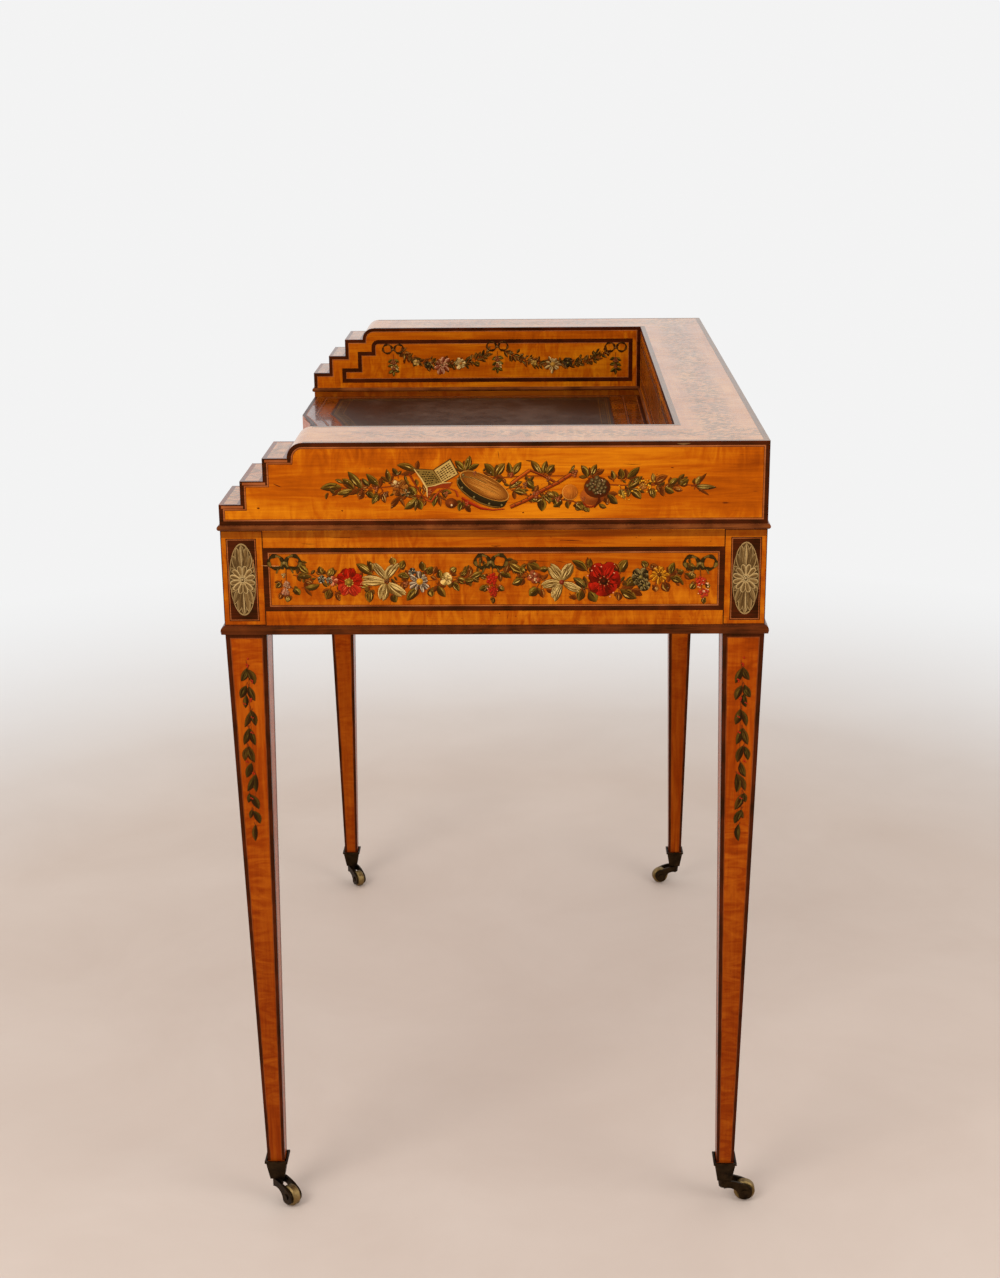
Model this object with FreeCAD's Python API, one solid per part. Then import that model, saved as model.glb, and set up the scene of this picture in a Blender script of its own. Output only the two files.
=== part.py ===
import FreeCAD, Part
import math
import os

# A carlton house desk: a writing table on four tapered legs and castors, with three
# frieze drawers, a bowed-in front and a low U-shaped gallery with stepped arms.
# Millimetres. X runs to the sitter's right, Y to the back, Z up.
# The origin is on the floor, under the middle of the desk.

Vector = FreeCAD.Vector
UP = Vector(0, 0, 1)
ORIGIN = Vector(0, 0, 0)
FULL_TURN = 360

# Overall sizes. The carcase height runs from the waist down to the foot of the frieze
desk_length = 930
desk_depth = 558
waist_height = 800
gallery_height = 85
writing_drop = 13
carcase_height = 115.7
bow_half_chord = 229
bow_depth = 42

# Table top and its leather
top_thickness = 19
leather_thickness = 1.2
leather_front_margin = 39
leather_back_margin = 45
leather_end_margin = 18

# Legs and the frame that joins them
leg_width = 43
foot_width = 19
foot_inset = 14
rail_thickness = 22
tenon_thickness = 8
tenon_length = 20
tenon_shoulder = 10
mortise_clearance = 0.5
front_rail_depth = 55
bottom_rail_thickness = 11.7
top_rail_thickness = 12
flat_tenon_thickness = 6
divider_thickness = 16
runner_width = 20
guide_height = 36

# Castors
wheel_radius = 12
wheel_width = 9.5
wheel_edge_bevel = 1.5
wheel_hub_radius = 5.5
wheel_hub_recess = 0.8
castor_trail = 23.5
axle_radius = 2
axle_head_radius = 3.4
axle_head_height = 1.2
axle_running_clearance = 0.05
wheel_side_gap = 0.5
cheek_thickness = 2.6
cheek_eye_radius = 9
boss_radius = 6.9
boss_foot_radius = 5.6
boss_height = 10.6
swivel_gap = 0.3
pintle_radius = 2.5
pintle_length = 8.5
pintle_running_clearance = 0.08
cup_bottom = 27
cup_rim = 52
cup_lip_height = 2.6
cup_lip_width = 26
cup_top_width = 23.4
cup_bottom_width = 16
cup_mouth_width = 22
cup_floor = 3
peg_width = 12
peg_shoulder_drop = 3
peg_clearance = 0.25
# Directions in which the castors trail, in degrees from +X towards +Y
castor_headings = {"front_right": 45, "back_right": 88, "front_left": 30, "back_left": -75}

# Mouldings
base_moulding_height = 9.3
base_moulding_reach = 4.2
waist_moulding_height = 5.8
waist_moulding_reach = 2.9
# Where the base moulding's curve ends, as shares of its reach and height
ovolo_middle_shares = (0.78, 0.74)
ovolo_end_shares = (1.0, 0.36)
ovolo_foot_share = 0.84
# Degrees that the bowed strip runs past its mitres before it is cut to length
bow_overturn = 1.5

# Gallery
arm_width = 90
back_width = 90
cap_thickness = 6
gallery_board = 12
riser_setbacks = (0, 22.5, 46.2)
tread_heights = (21.4, 45.6, 69)
ovolo_setback = 71.5
gallery_floor_thickness = 6
gallery_top_rail_height = 10
gallery_stile_width = 25
gallery_guide_thickness = 6

# Frieze drawers
drawer_gap = 0.5
drawer_run_gap = 0.3
drawer_front_thickness = 20
drawer_side_gap = 1
drawer_side_thickness = 8
drawer_side_height = 47
drawer_length = 420
drawer_bottom_thickness = 5
drawer_bottom_rise = 6
drawer_groove = 3
drawer_tail_length = 12
drawer_tail_count = 2
side_drawer_knob_share = 0
centre_drawer_knob_share = 0.48

# Gallery drawers
small_gap = 0.4
small_front_thickness = 12
small_side_gap = 0.5
small_side_thickness = 6
small_side_height = 48
small_back_gap = 4
small_bottom_thickness = 3
small_bottom_rise = 4
small_groove = 2
small_tail_length = 7
small_tail_count = 2
small_drawer_count = 3

# Shape of every dovetail, as shares of its pitch
tail_tip_share = 0.66
tail_root_share = 0.40

# Knobs
knob_plate_radius = 7.5
knob_plate_thickness = 1.4
knob_neck_radius = 2.8
knob_neck_length = 7
knob_head_radius = 6.8
knob_rim_thickness = 1.6
knob_dome_height = 2.4
knob_reach = 18
knob_shank_radius = 2
knob_shank_length = 13

# Extra length given to every cutting shape
overrun = 2

# Places worked out from the sizes
half_length = desk_length / 2
half_depth = desk_depth / 2
front_y = -half_depth
top_z = waist_height - writing_drop
carcase_bottom = waist_height - carcase_height
carcase_top = top_z - top_thickness
gallery_top = waist_height + gallery_height
cap_underside = gallery_top - cap_thickness
arm_inner_x = half_length - arm_width
back_inner_y = half_depth - back_width
leg_inner_x = half_length - leg_width
leg_inner_y = half_depth - leg_width
foot_centre_x = half_length - foot_inset - foot_width / 2
foot_centre_y = half_depth - foot_inset - foot_width / 2
peg_top = cup_rim - peg_shoulder_drop
peg_bottom = cup_bottom + cup_floor
bow_radius = (bow_half_chord ** 2 + bow_depth ** 2) / (2 * bow_depth)
bow_centre_y = front_y + bow_depth - bow_radius
divider_inner_x = bow_half_chord - divider_thickness / 2
divider_outer_x = bow_half_chord + divider_thickness / 2
drawer_floor_z = carcase_bottom + bottom_rail_thickness
drawer_ceiling_z = carcase_top - top_rail_thickness
ovolo_radius = gallery_height - tread_heights[-1]

SIDES = {"right": 1, "left": -1}
ENDS = {"front": -1, "back": 1}


def box(x0, x1, y0, y1, z0, z1):
    """Block between two opposite corners."""
    low = Vector(min(x0, x1), min(y0, y1), min(z0, z1))
    return Part.makeBox(abs(x1 - x0), abs(y1 - y0), abs(z1 - z0), low)


def line(start, end):
    return Part.makeLine(start, end)


def arc(start, middle, end):
    return Part.Arc(start, middle, end).toShape()


def prism(edges, push):
    """Solid made by pushing a flat closed outline along a vector."""
    return Part.Face(Part.Wire(edges)).extrude(push)


def mirrored(shape):
    """The same piece on the other side of the desk's middle plane."""
    return shape.mirror(ORIGIN, Vector(1, 0, 0))


def square(x, y, width, z):
    """Corners of a level square about a centre."""
    half = width / 2
    return [
        Vector(x - half, y - half, z),
        Vector(x + half, y - half, z),
        Vector(x + half, y + half, z),
        Vector(x - half, y + half, z),
    ]


def tapered_block(low, high):
    """Solid between two level squares."""
    faces = [Part.Face(Part.makePolygon(low + low[:1])), Part.Face(Part.makePolygon(high + high[:1]))]
    for i in range(len(low)):
        j = (i + 1) % len(low)
        faces.append(Part.Face(Part.makePolygon([low[i], low[j], high[j], high[i], low[i]])))
    solid = Part.makeSolid(Part.makeShell(faces))
    if solid.Volume < 0:
        solid.reverse()
    return solid


def bow_corner_x(inset):
    """Half the width of the bowed stretch on a front edge that is moved back by inset."""
    return math.sqrt((bow_radius + inset) ** 2 - (front_y + inset - bow_centre_y) ** 2)


def front_face_y(x, inset):
    """Y of the front edge at x, moved back by inset."""
    if abs(x) >= bow_corner_x(inset):
        return front_y + inset
    return bow_centre_y + math.sqrt((bow_radius + inset) ** 2 - x ** 2)


def front_edges(half_width, inset):
    """The front edge from left to right: straight, bowed in, straight."""
    y = front_y + inset
    corner = bow_corner_x(inset)
    middle = Vector(0, bow_centre_y + bow_radius + inset, 0)
    return [
        line(Vector(-half_width, y, 0), Vector(-corner, y, 0)),
        arc(Vector(-corner, y, 0), middle, Vector(corner, y, 0)),
        line(Vector(corner, y, 0), Vector(half_width, y, 0)),
    ]


def plan_block(half_width, inset, back_y, z0, z1):
    """Board with the bowed front edge and a straight back."""
    y = front_y + inset
    edges = front_edges(half_width, inset)
    edges.append(line(Vector(half_width, y, 0), Vector(half_width, back_y, 0)))
    edges.append(line(Vector(half_width, back_y, 0), Vector(-half_width, back_y, 0)))
    edges.append(line(Vector(-half_width, back_y, 0), Vector(-half_width, y, 0)))
    block = prism(edges, Vector(0, 0, z1 - z0))
    block.translate(Vector(0, 0, z0))
    return block


def front_band(x0, x1, depth, z0, z1):
    """Strip of constant depth that follows the front edge between two places."""
    whole = plan_block(half_length, 0, 0, z0, z1)
    behind = plan_block(half_length, depth, 0, z0, z1)
    return whole.cut(behind).common(box(x0, x1, front_y - overrun, 0, z0, z1))


# The frame: rails with tenons, and legs with their mortises


def end_tenon(side, end, extra):
    """Tenon of an end rail in the front or back leg."""
    x = side * (half_length - rail_thickness / 2)
    y0 = end * leg_inner_y
    y1 = end * (leg_inner_y + tenon_length + extra)
    z0 = carcase_bottom + tenon_shoulder
    z1 = carcase_top - tenon_shoulder
    return box(x - tenon_thickness / 2, x + tenon_thickness / 2, y0, y1, z0, z1)


def back_tenon(side, extra):
    """Tenon of the back rail in a back leg."""
    y = half_depth - rail_thickness / 2
    x0 = side * leg_inner_x
    x1 = side * (leg_inner_x + tenon_length + extra)
    z0 = carcase_bottom + tenon_shoulder
    z1 = carcase_top - tenon_shoulder
    return box(x0, x1, y - tenon_thickness / 2, y + tenon_thickness / 2, z0, z1)


def front_tenon(side, z, extra):
    """Flat tenon of a front rail in a front leg."""
    x0 = side * leg_inner_x
    x1 = side * (leg_inner_x + tenon_length + extra)
    y0 = front_y + tenon_shoulder
    y1 = front_y + leg_width - tenon_shoulder
    return box(x0, x1, y0, y1, z - flat_tenon_thickness / 2, z + flat_tenon_thickness / 2)


bottom_rail_z = carcase_bottom + bottom_rail_thickness / 2
top_rail_z = carcase_top - top_rail_thickness / 2


def leg(side, end):
    """Square post, tapered leg and the peg that stands in the castor's cup."""
    post_x = side * (half_length - leg_width / 2)
    post_y = end * (half_depth - leg_width / 2)
    foot_x = side * foot_centre_x
    foot_y = end * foot_centre_y
    post = box(
        side * leg_inner_x, side * half_length, end * leg_inner_y, end * half_depth,
        carcase_bottom, carcase_top,
    )
    knee = square(post_x, post_y, leg_width, carcase_bottom)
    ankle = square(foot_x, foot_y, foot_width, peg_top)
    toe = square(foot_x, foot_y, peg_width, peg_bottom)
    piece = post.fuse([tapered_block(ankle, knee), tapered_block(toe, ankle)])
    piece = piece.cut(end_tenon(side, end, mortise_clearance))
    if end > 0:
        return piece.cut(back_tenon(side, mortise_clearance))
    for z in (bottom_rail_z, top_rail_z):
        piece = piece.cut(front_tenon(side, z, mortise_clearance))
    return piece


def end_rail(side):
    """Side of the frieze between two legs."""
    board = box(
        side * (half_length - rail_thickness), side * half_length, -leg_inner_y, leg_inner_y,
        carcase_bottom, carcase_top,
    )
    return board.fuse([end_tenon(side, end, 0) for end in ENDS.values()])


def back_rail():
    """Back of the frieze between two legs."""
    board = box(
        -leg_inner_x, leg_inner_x, half_depth - rail_thickness, half_depth,
        carcase_bottom, carcase_top,
    )
    return board.fuse([back_tenon(side, 0) for side in SIDES.values()])


def front_rail(z0, z1):
    """Flat rail under or over the drawers, with the bowed front edge."""
    strip = front_band(-leg_inner_x, leg_inner_x, front_rail_depth, z0, z1)
    return strip.fuse([front_tenon(side, (z0 + z1) / 2, 0) for side in SIDES.values()])


def divider(side, rails):
    """Upright board between two drawers, notched round the front rails."""
    x0 = side * divider_inner_x
    x1 = side * divider_outer_x
    back_y = half_depth - rail_thickness
    board = plan_block(half_length, 0, back_y, carcase_bottom, carcase_top)
    board = board.common(box(x0, x1, front_y - overrun, back_y, carcase_bottom, carcase_top))
    return board.cut(rails[0]).cut(rails[1])


def runners():
    """Bars on which the drawers slide, from the front rail to the back rail."""
    back_y = half_depth - rail_thickness
    front_end_y = front_y + bow_depth + front_rail_depth
    spans = [
        (divider_inner_x - runner_width, divider_inner_x, front_end_y),
        (divider_outer_x, divider_outer_x + runner_width, front_y + front_rail_depth),
        (leg_inner_x - runner_width, leg_inner_x, front_y + front_rail_depth),
    ]
    bars = []
    for side in SIDES.values():
        for x0, x1, y0 in spans:
            bar = box(side * x0, side * x1, y0 - bow_depth, back_y, carcase_bottom, drawer_floor_z)
            bars.append(bar.cut(front_band(-leg_inner_x, leg_inner_x, front_rail_depth,
                                           carcase_bottom, drawer_floor_z)))
    return bars


def guides():
    """Bars that keep the outer drawers clear of the legs."""
    x0 = leg_inner_x
    x1 = half_length - rail_thickness
    z1 = carcase_bottom + guide_height
    return [box(s * x0, s * x1, -leg_inner_y, leg_inner_y, carcase_bottom, z1) for s in SIDES.values()]


# The table top and its leather

leather_half_width = arm_inner_x - leather_end_margin
leather_back_y = back_inner_y - leather_back_margin


def leather():
    return plan_block(leather_half_width, leather_front_margin, leather_back_y,
                      top_z - leather_thickness, top_z)


def table_top():
    """Top board with the bowed front and the recess for the leather."""
    board = plan_block(half_length, 0, half_depth, carcase_top, top_z)
    return board.cut(leather())


# Mouldings, swept round an outline with mitred corners


def swept(profile, path):
    """Closed strip made by carrying a profile round a path."""
    return Part.Wire(path).makePipeShell([Part.Wire(profile)], True, False, 1)


def wedge_block(points):
    """Tall block over a flat outline, used to cut strips to length."""
    return Part.Face(Part.makePolygon(points + points[:1])).extrude(UP * gallery_top)


def split_at_mitres(ring, corners, reach):
    """Strips of a ring along the straight runs between the corners, cut at the mitres."""
    count = len(corners)
    spread = []
    for i, corner in enumerate(corners):
        before = (corner - corners[i - 1]).normalize()
        after = (corners[(i + 1) % count] - corner).normalize()
        spread.append((before.cross(UP) + after.cross(UP)) * reach)
    strips = []
    for i, corner in enumerate(corners):
        j = (i + 1) % count
        outline = [
            corner + spread[i], corners[j] + spread[j], corners[j] - spread[j], corner - spread[i],
        ]
        strips.append(ring.common(wedge_block(outline)))
    return strips


def base_profile(foot, outward):
    """Section of the base moulding, standing on a foot point and reaching outward."""

    def point(reach_share, height_share):
        reach = outward * (base_moulding_reach * reach_share)
        return foot + reach + UP * (base_moulding_height * height_share)

    top = point(0, 1)
    nose = point(*ovolo_end_shares)
    toe = point(ovolo_foot_share, 0)
    heel = point(0, 0)
    curve = arc(top, point(*ovolo_middle_shares), nose)
    return [curve, line(nose, toe), line(toe, heel), line(heel, top)]


def base_moulding():
    """Ovolo strips round the foot of the frieze, mitred where they turn."""
    reach = base_moulding_reach
    corners = [
        Vector(half_length, front_y, carcase_bottom),
        Vector(half_length, half_depth, carcase_bottom),
        Vector(-half_length, half_depth, carcase_bottom),
        Vector(-half_length, front_y, carcase_bottom),
    ]
    start = Vector(half_length, 0, carcase_bottom)
    stops = [start] + corners[1:] + [corners[0], start]
    path = [line(a, b) for a, b in zip(stops, stops[1:])]
    ring = swept(base_profile(start, Vector(1, 0, 0)), path)
    strips = split_at_mitres(ring, corners, 2 * reach)

    # The front strip gives way to the bowed stretch between the two bow corners
    bow_corner = Vector(bow_corner_x(0), front_y, 0)
    mitre = (Vector(bow_corner_x(-reach), front_y - reach, 0) - bow_corner) * 2
    bow_outline = [bow_corner + mitre, bow_corner - mitre, Vector(0, front_y + 2 * bow_depth, 0)]
    bow_outline += [Vector(-p.x, p.y, 0) for p in (bow_corner - mitre, bow_corner + mitre)]
    bow_wedge = wedge_block(bow_outline)
    half_turn = math.degrees(math.asin(bow_half_chord / bow_radius)) + bow_overturn
    middle = Vector(0, bow_centre_y + bow_radius, carcase_bottom)
    section = Part.Face(Part.Wire(base_profile(middle, Vector(0, -1, 0))))
    section.rotate(Vector(0, bow_centre_y, 0), UP, -half_turn)
    bow = section.revolve(Vector(0, bow_centre_y, 0), UP, 2 * half_turn)
    return strips[:3] + strips[3].cut(bow_wedge).Solids + [bow.common(bow_wedge)]


def waist_moulding():
    """Half-round strip on the waist, outside and inside the gallery."""
    z1 = waist_height
    middle_z = z1 - waist_moulding_height / 2
    z0 = z1 - waist_moulding_height
    top = Vector(half_length, 0, z1)
    nose = Vector(half_length + waist_moulding_reach, 0, middle_z)
    foot = Vector(half_length, 0, z0)
    profile = [arc(top, nose, foot), line(foot, top)]
    corners = [
        Vector(half_length, front_y, 0),
        Vector(half_length, half_depth, 0),
        Vector(-half_length, half_depth, 0),
        Vector(-half_length, front_y, 0),
        Vector(-arm_inner_x, front_y, 0),
        Vector(-arm_inner_x, back_inner_y, 0),
        Vector(arm_inner_x, back_inner_y, 0),
        Vector(arm_inner_x, front_y, 0),
    ]
    start = Vector(half_length, 0, 0)
    stops = [start] + corners[1:] + [corners[0], start]
    path = [line(a, b) for a, b in zip(stops, stops[1:])]
    for edge in path:
        edge.translate(Vector(0, 0, z0))
    return split_at_mitres(swept(profile, path), corners, waist_moulding_reach * 2)


# The gallery


def stepped_edges(inset, back_y):
    """Side view of an arm, with its steps drawn in by inset."""
    z0 = waist_height
    points = [Vector(0, front_y + riser_setbacks[0] + inset, z0)]
    for setback, height, following in zip(riser_setbacks, tread_heights,
                                          riser_setbacks[1:] + (ovolo_setback,)):
        tread_z = waist_height + height - inset
        points.append(Vector(0, front_y + setback + inset, tread_z))
        points.append(Vector(0, front_y + following + inset, tread_z))
    centre = Vector(0, front_y + ovolo_setback + ovolo_radius, waist_height + tread_heights[-1])
    radius = ovolo_radius - inset
    slant = radius * math.sqrt(0.5)
    start = Vector(0, centre.y - radius, centre.z)
    crown = Vector(0, centre.y, centre.z + radius)
    points.append(start)
    points = [p for i, p in enumerate(points) if i == 0 or (p - points[i - 1]).Length > 0]
    edges = [line(a, b) for a, b in zip(points, points[1:])]
    edges.append(arc(start, centre + Vector(0, -slant, slant), crown))
    back_top = Vector(0, back_y, crown.z)
    back_foot = Vector(0, back_y, z0)
    edges.append(line(crown, back_top))
    edges.append(line(back_top, back_foot))
    edges.append(line(back_foot, points[0]))
    return edges


def arm_slice(x0, x1, inset, back_y):
    """Solid slice of an arm between two places across it."""
    slab = prism(stepped_edges(inset, back_y), Vector(x1 - x0, 0, 0))
    slab.translate(Vector(x0, 0, 0))
    return slab


def arm_cap():
    """Treads, risers, ovolo and top of the right arm, mitred to the back cap."""
    shell = arm_slice(arm_inner_x, half_length, 0, half_depth)
    shell = shell.cut(arm_slice(arm_inner_x, half_length, cap_thickness, half_depth + overrun))
    mitre = [
        Vector(arm_inner_x, front_y, 0),
        Vector(half_length, front_y, 0),
        Vector(half_length, half_depth, 0),
        Vector(arm_inner_x, back_inner_y, 0),
    ]
    return shell.common(wedge_block(mitre))


def back_cap():
    """Top of the back of the gallery, mitred to the arms."""
    outline = [
        Vector(-half_length, half_depth, cap_underside),
        Vector(half_length, half_depth, cap_underside),
        Vector(arm_inner_x, back_inner_y, cap_underside),
        Vector(-arm_inner_x, back_inner_y, cap_underside),
    ]
    return Part.Face(Part.makePolygon(outline + outline[:1])).extrude(UP * cap_thickness)


def gallery_base():
    """Boards that lift the gallery to the waist."""
    boards = [box(-half_length, half_length, back_inner_y, half_depth, top_z, waist_height)]
    for side in SIDES.values():
        boards.append(box(side * arm_inner_x, side * half_length, front_y, back_inner_y,
                          top_z, waist_height))
    return boards


small_floor_z = waist_height + gallery_floor_thickness
small_ceiling_z = cap_underside - gallery_top_rail_height
small_run_x = arm_inner_x - gallery_stile_width
small_back_y = half_depth - gallery_board
small_pitch = (2 * small_run_x + gallery_board) / small_drawer_count


def partition_centres():
    """Middles of the upright boards between the gallery drawers."""
    return [-small_run_x - gallery_board / 2 + small_pitch * i for i in range(1, small_drawer_count)]


def partitions():
    """Upright boards that carry the gallery's top rail and guide its drawers."""
    boards = []
    for x in partition_centres():
        boards.append(box(x - gallery_board / 2, x + gallery_board / 2, back_inner_y, small_back_y,
                          small_floor_z, small_ceiling_z))
    for side in SIDES.values():
        stile = box(side * small_run_x, side * arm_inner_x, back_inner_y,
                    back_inner_y + gallery_board, small_floor_z, small_ceiling_z)
        guide = box(side * small_run_x, side * (small_run_x + gallery_guide_thickness),
                    back_inner_y, small_back_y, small_floor_z, small_ceiling_z)
        boards.append(stile.fuse(guide).removeSplitter())
    return boards


# Drawers


def tails(x0, x1, root_y, length, z0, z1, count, far_y):
    """Dovetails on the front end of a drawer side, wider at the tip than at the root."""
    pitch = (z1 - z0) / count
    tip_y = root_y - length
    narrowing = pitch * (tail_tip_share - tail_root_share) / 2 / length
    pieces = []
    for i in range(count):
        middle = z0 + pitch * (i + 0.5)
        tip = pitch * tail_tip_share / 2
        far = tip - narrowing * (far_y - tip_y)
        corners = [
            Vector(x0, tip_y, middle - tip),
            Vector(x0, tip_y, middle + tip),
            Vector(x0, far_y, middle + far),
            Vector(x0, far_y, middle - far),
        ]
        pieces.append(Part.Face(Part.makePolygon(corners + corners[:1])).extrude(Vector(x1 - x0, 0, 0)))
    return pieces


def drawer_parts(blank, behind, x0, x1, z0, back_y, root_y, sizes):
    """Front and dovetailed box of one drawer. The box is two sides, a back and a bottom."""
    z1 = z0 + sizes["side_height"]
    thickness = sizes["side_thickness"]
    bottom_z = z0 + sizes["bottom_rise"]
    bottom_top = bottom_z + sizes["bottom_thickness"]
    inner0 = x0 + thickness
    inner1 = x1 - thickness
    front_end = blank.BoundBox.YMin
    groove = sizes["groove"]
    bottom = box(inner0 - groove, inner1 + groove, front_end, back_y, bottom_z, bottom_top).common(behind)
    front = blank
    sides = []
    for a, b in ((x0, inner0), (inner1, x1)):
        root = root_y((a + b) / 2)
        joint = tails(a, b, root, sizes["tail_length"], z0, z1, sizes["tail_count"], root + thickness)
        joint = Part.makeCompound(joint)
        board = box(a, b, front_end, back_y, z0, z1).common(behind).cut(bottom)
        sides.append(board.fuse(joint.common(blank)).removeSplitter())
        front = front.cut(joint)
    back = box(inner0, inner1, back_y - thickness, back_y, bottom_top, z1)
    return front, sides + [back, bottom]


frieze_drawer_sizes = {
    "side_height": drawer_side_height,
    "side_thickness": drawer_side_thickness,
    "bottom_thickness": drawer_bottom_thickness,
    "bottom_rise": drawer_bottom_rise,
    "groove": drawer_groove,
    "tail_length": drawer_tail_length,
    "tail_count": drawer_tail_count,
}
small_drawer_sizes = {
    "side_height": small_side_height,
    "side_thickness": small_side_thickness,
    "bottom_thickness": small_bottom_thickness,
    "bottom_rise": small_bottom_rise,
    "groove": small_groove,
    "tail_length": small_tail_length,
    "tail_count": small_tail_count,
}


def knob(x):
    """Turned knob with a domed head, square to the drawer front at x, with its shank."""
    neck_end = knob_plate_thickness + knob_neck_length
    rim_front = knob_reach - knob_dome_height
    rim_back = rim_front - knob_rim_thickness
    dome_radius = (knob_head_radius ** 2 + knob_dome_height ** 2) / (2 * knob_dome_height)
    half_span = math.asin(knob_head_radius / dome_radius) / 2
    dome_centre = Vector(0, dome_radius - knob_reach, 0)
    on_dome = dome_centre + Vector(math.sin(half_span), -math.cos(half_span), 0) * dome_radius
    # Radius and distance in front of the drawer, from the shank's end to the rim of the head
    turned = [
        (0, -knob_shank_length),
        (knob_shank_radius, -knob_shank_length),
        (knob_shank_radius, 0),
        (knob_plate_radius, 0),
        (knob_plate_radius, knob_plate_thickness),
        (knob_neck_radius, knob_plate_thickness),
        (knob_neck_radius, neck_end),
        (knob_head_radius, rim_back),
        (knob_head_radius, rim_front),
    ]
    points = [Vector(radius, -place, 0) for radius, place in turned]
    crown = Vector(0, -knob_reach, 0)
    edges = [line(a, b) for a, b in zip(points, points[1:])]
    edges += [arc(points[-1], on_dome, crown), line(crown, points[0])]
    piece = Part.Face(Part.Wire(edges)).revolve(ORIGIN, Vector(0, 1, 0), FULL_TURN)
    turn = -math.degrees(math.asin(x / bow_radius)) if abs(x) < bow_corner_x(0) else 0
    piece.rotate(ORIGIN, UP, turn)
    piece.translate(Vector(x, front_face_y(x, 0), 0))
    return piece


def frieze_drawer(x0, x1, knob_share):
    """Front, box and knobs of a drawer whose opening runs from x0 to x1."""
    blank_z0 = drawer_floor_z + drawer_run_gap
    blank_z1 = drawer_ceiling_z - drawer_gap
    blank = front_band(x0 + drawer_gap, x1 - drawer_gap, drawer_front_thickness, blank_z0, blank_z1)
    back_y = front_y + drawer_length
    behind = plan_block(half_length, drawer_front_thickness, back_y, blank_z0, blank_z1)
    side_gap = drawer_gap + drawer_side_gap
    front, parts = drawer_parts(
        blank, behind, x0 + side_gap, x1 - side_gap, blank_z0, back_y,
        lambda x: front_face_y(x, drawer_front_thickness), frieze_drawer_sizes,
    )
    middle = (x0 + x1) / 2
    offset = (x1 - x0) / 2 * knob_share
    places = sorted({middle - offset, middle + offset})
    knobs = []
    for x in places:
        piece = knob(x)
        piece.translate(Vector(0, 0, (blank_z0 + blank_z1) / 2))
        knobs.append(piece)
        front = front.cut(piece)
    return front, parts, knobs


def small_drawer(index):
    """Front and box of one drawer in the gallery."""
    x0 = -small_run_x + small_pitch * index
    x1 = x0 + small_pitch - gallery_board
    z0 = small_floor_z + small_gap
    z1 = small_ceiling_z - small_gap
    front_back_y = back_inner_y + small_front_thickness
    back_y = small_back_y - small_back_gap
    blank = box(x0 + small_gap, x1 - small_gap, back_inner_y, front_back_y, z0, z1)
    behind = box(x0, x1, front_back_y, back_y, z0, z1)
    side_gap = small_gap + small_side_gap
    return drawer_parts(blank, behind, x0 + side_gap, x1 - side_gap, z0, back_y,
                        lambda x: front_back_y, small_drawer_sizes)


# Castors, made with the swivel axis on Z and the wheel trailing along +X

boss_top = cup_bottom - swivel_gap
boss_bottom = boss_top - boss_height
cheek_inner_y = wheel_width / 2 + wheel_side_gap
cheek_outer_y = cheek_inner_y + cheek_thickness
# Angles on the cheek's round eye where its upper and lower edges meet it
eye_upper_angle = 68
eye_lower_angle = 228
# Middle points of the cheek's curved edges, as shares of the trail and the boss's height
cheek_crown_shares = (0.56, 0.86)
cheek_throat_shares = (0.46, 0.0)
cheek_root_share = 0.93


def castor_cup():
    """Square cup that holds the leg's peg, with the pintle under it."""
    lip_z = cup_rim - cup_lip_height
    lip = tapered_block(square(0, 0, cup_lip_width, lip_z), square(0, 0, cup_lip_width, cup_rim))
    body = tapered_block(square(0, 0, cup_bottom_width, cup_bottom), square(0, 0, cup_top_width, lip_z))
    floor_width = peg_width + 2 * peg_clearance
    hollow = tapered_block(square(0, 0, floor_width, peg_bottom), square(0, 0, cup_mouth_width, cup_rim))
    pintle = Part.makeCylinder(pintle_radius, pintle_length, Vector(0, 0, cup_bottom - pintle_length))
    return lip.fuse([body, pintle]).cut(hollow)


def horn_cheek_edges():
    """Outline of a cheek, from the boss to the eye round the axle."""
    root_low = Vector(0, 0, boss_bottom)
    root_high = Vector(0, 0, boss_bottom + boss_height * cheek_root_share)
    crown = Vector(castor_trail * cheek_crown_shares[0], 0, boss_bottom + boss_height * cheek_crown_shares[1])
    throat = Vector(castor_trail * cheek_throat_shares[0], 0, boss_bottom - boss_height * cheek_throat_shares[1])
    eye = Vector(castor_trail, 0, wheel_radius)

    def on_eye(angle):
        turn = math.radians(angle)
        return eye + Vector(math.cos(turn), 0, math.sin(turn)) * cheek_eye_radius

    return [
        line(root_low, root_high),
        arc(root_high, crown, on_eye(eye_upper_angle)),
        arc(on_eye(eye_upper_angle), on_eye(0), on_eye(-(360 - eye_lower_angle))),
        arc(on_eye(eye_lower_angle), throat, root_low),
    ]


def castor_horn():
    """Boss with two curved cheeks that hold the wheel."""
    boss = Part.makeCone(boss_foot_radius, boss_radius, boss_height, Vector(0, 0, boss_bottom))
    cheeks = []
    for side in SIDES.values():
        cheek = prism(horn_cheek_edges(), Vector(0, side * cheek_thickness, 0))
        cheek.translate(Vector(0, side * cheek_inner_y, 0))
        cheeks.append(cheek)
    piece = boss.fuse(cheeks)
    bore_radius = pintle_radius + pintle_running_clearance
    bore = Part.makeCylinder(bore_radius, pintle_length, Vector(0, 0, cup_bottom - pintle_length - swivel_gap))
    axle_hole = Part.makeCylinder(axle_radius, 2 * cheek_outer_y,
                                  Vector(castor_trail, -cheek_outer_y, wheel_radius), Vector(0, 1, 0))
    return piece.cut(bore).cut(axle_hole)


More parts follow.
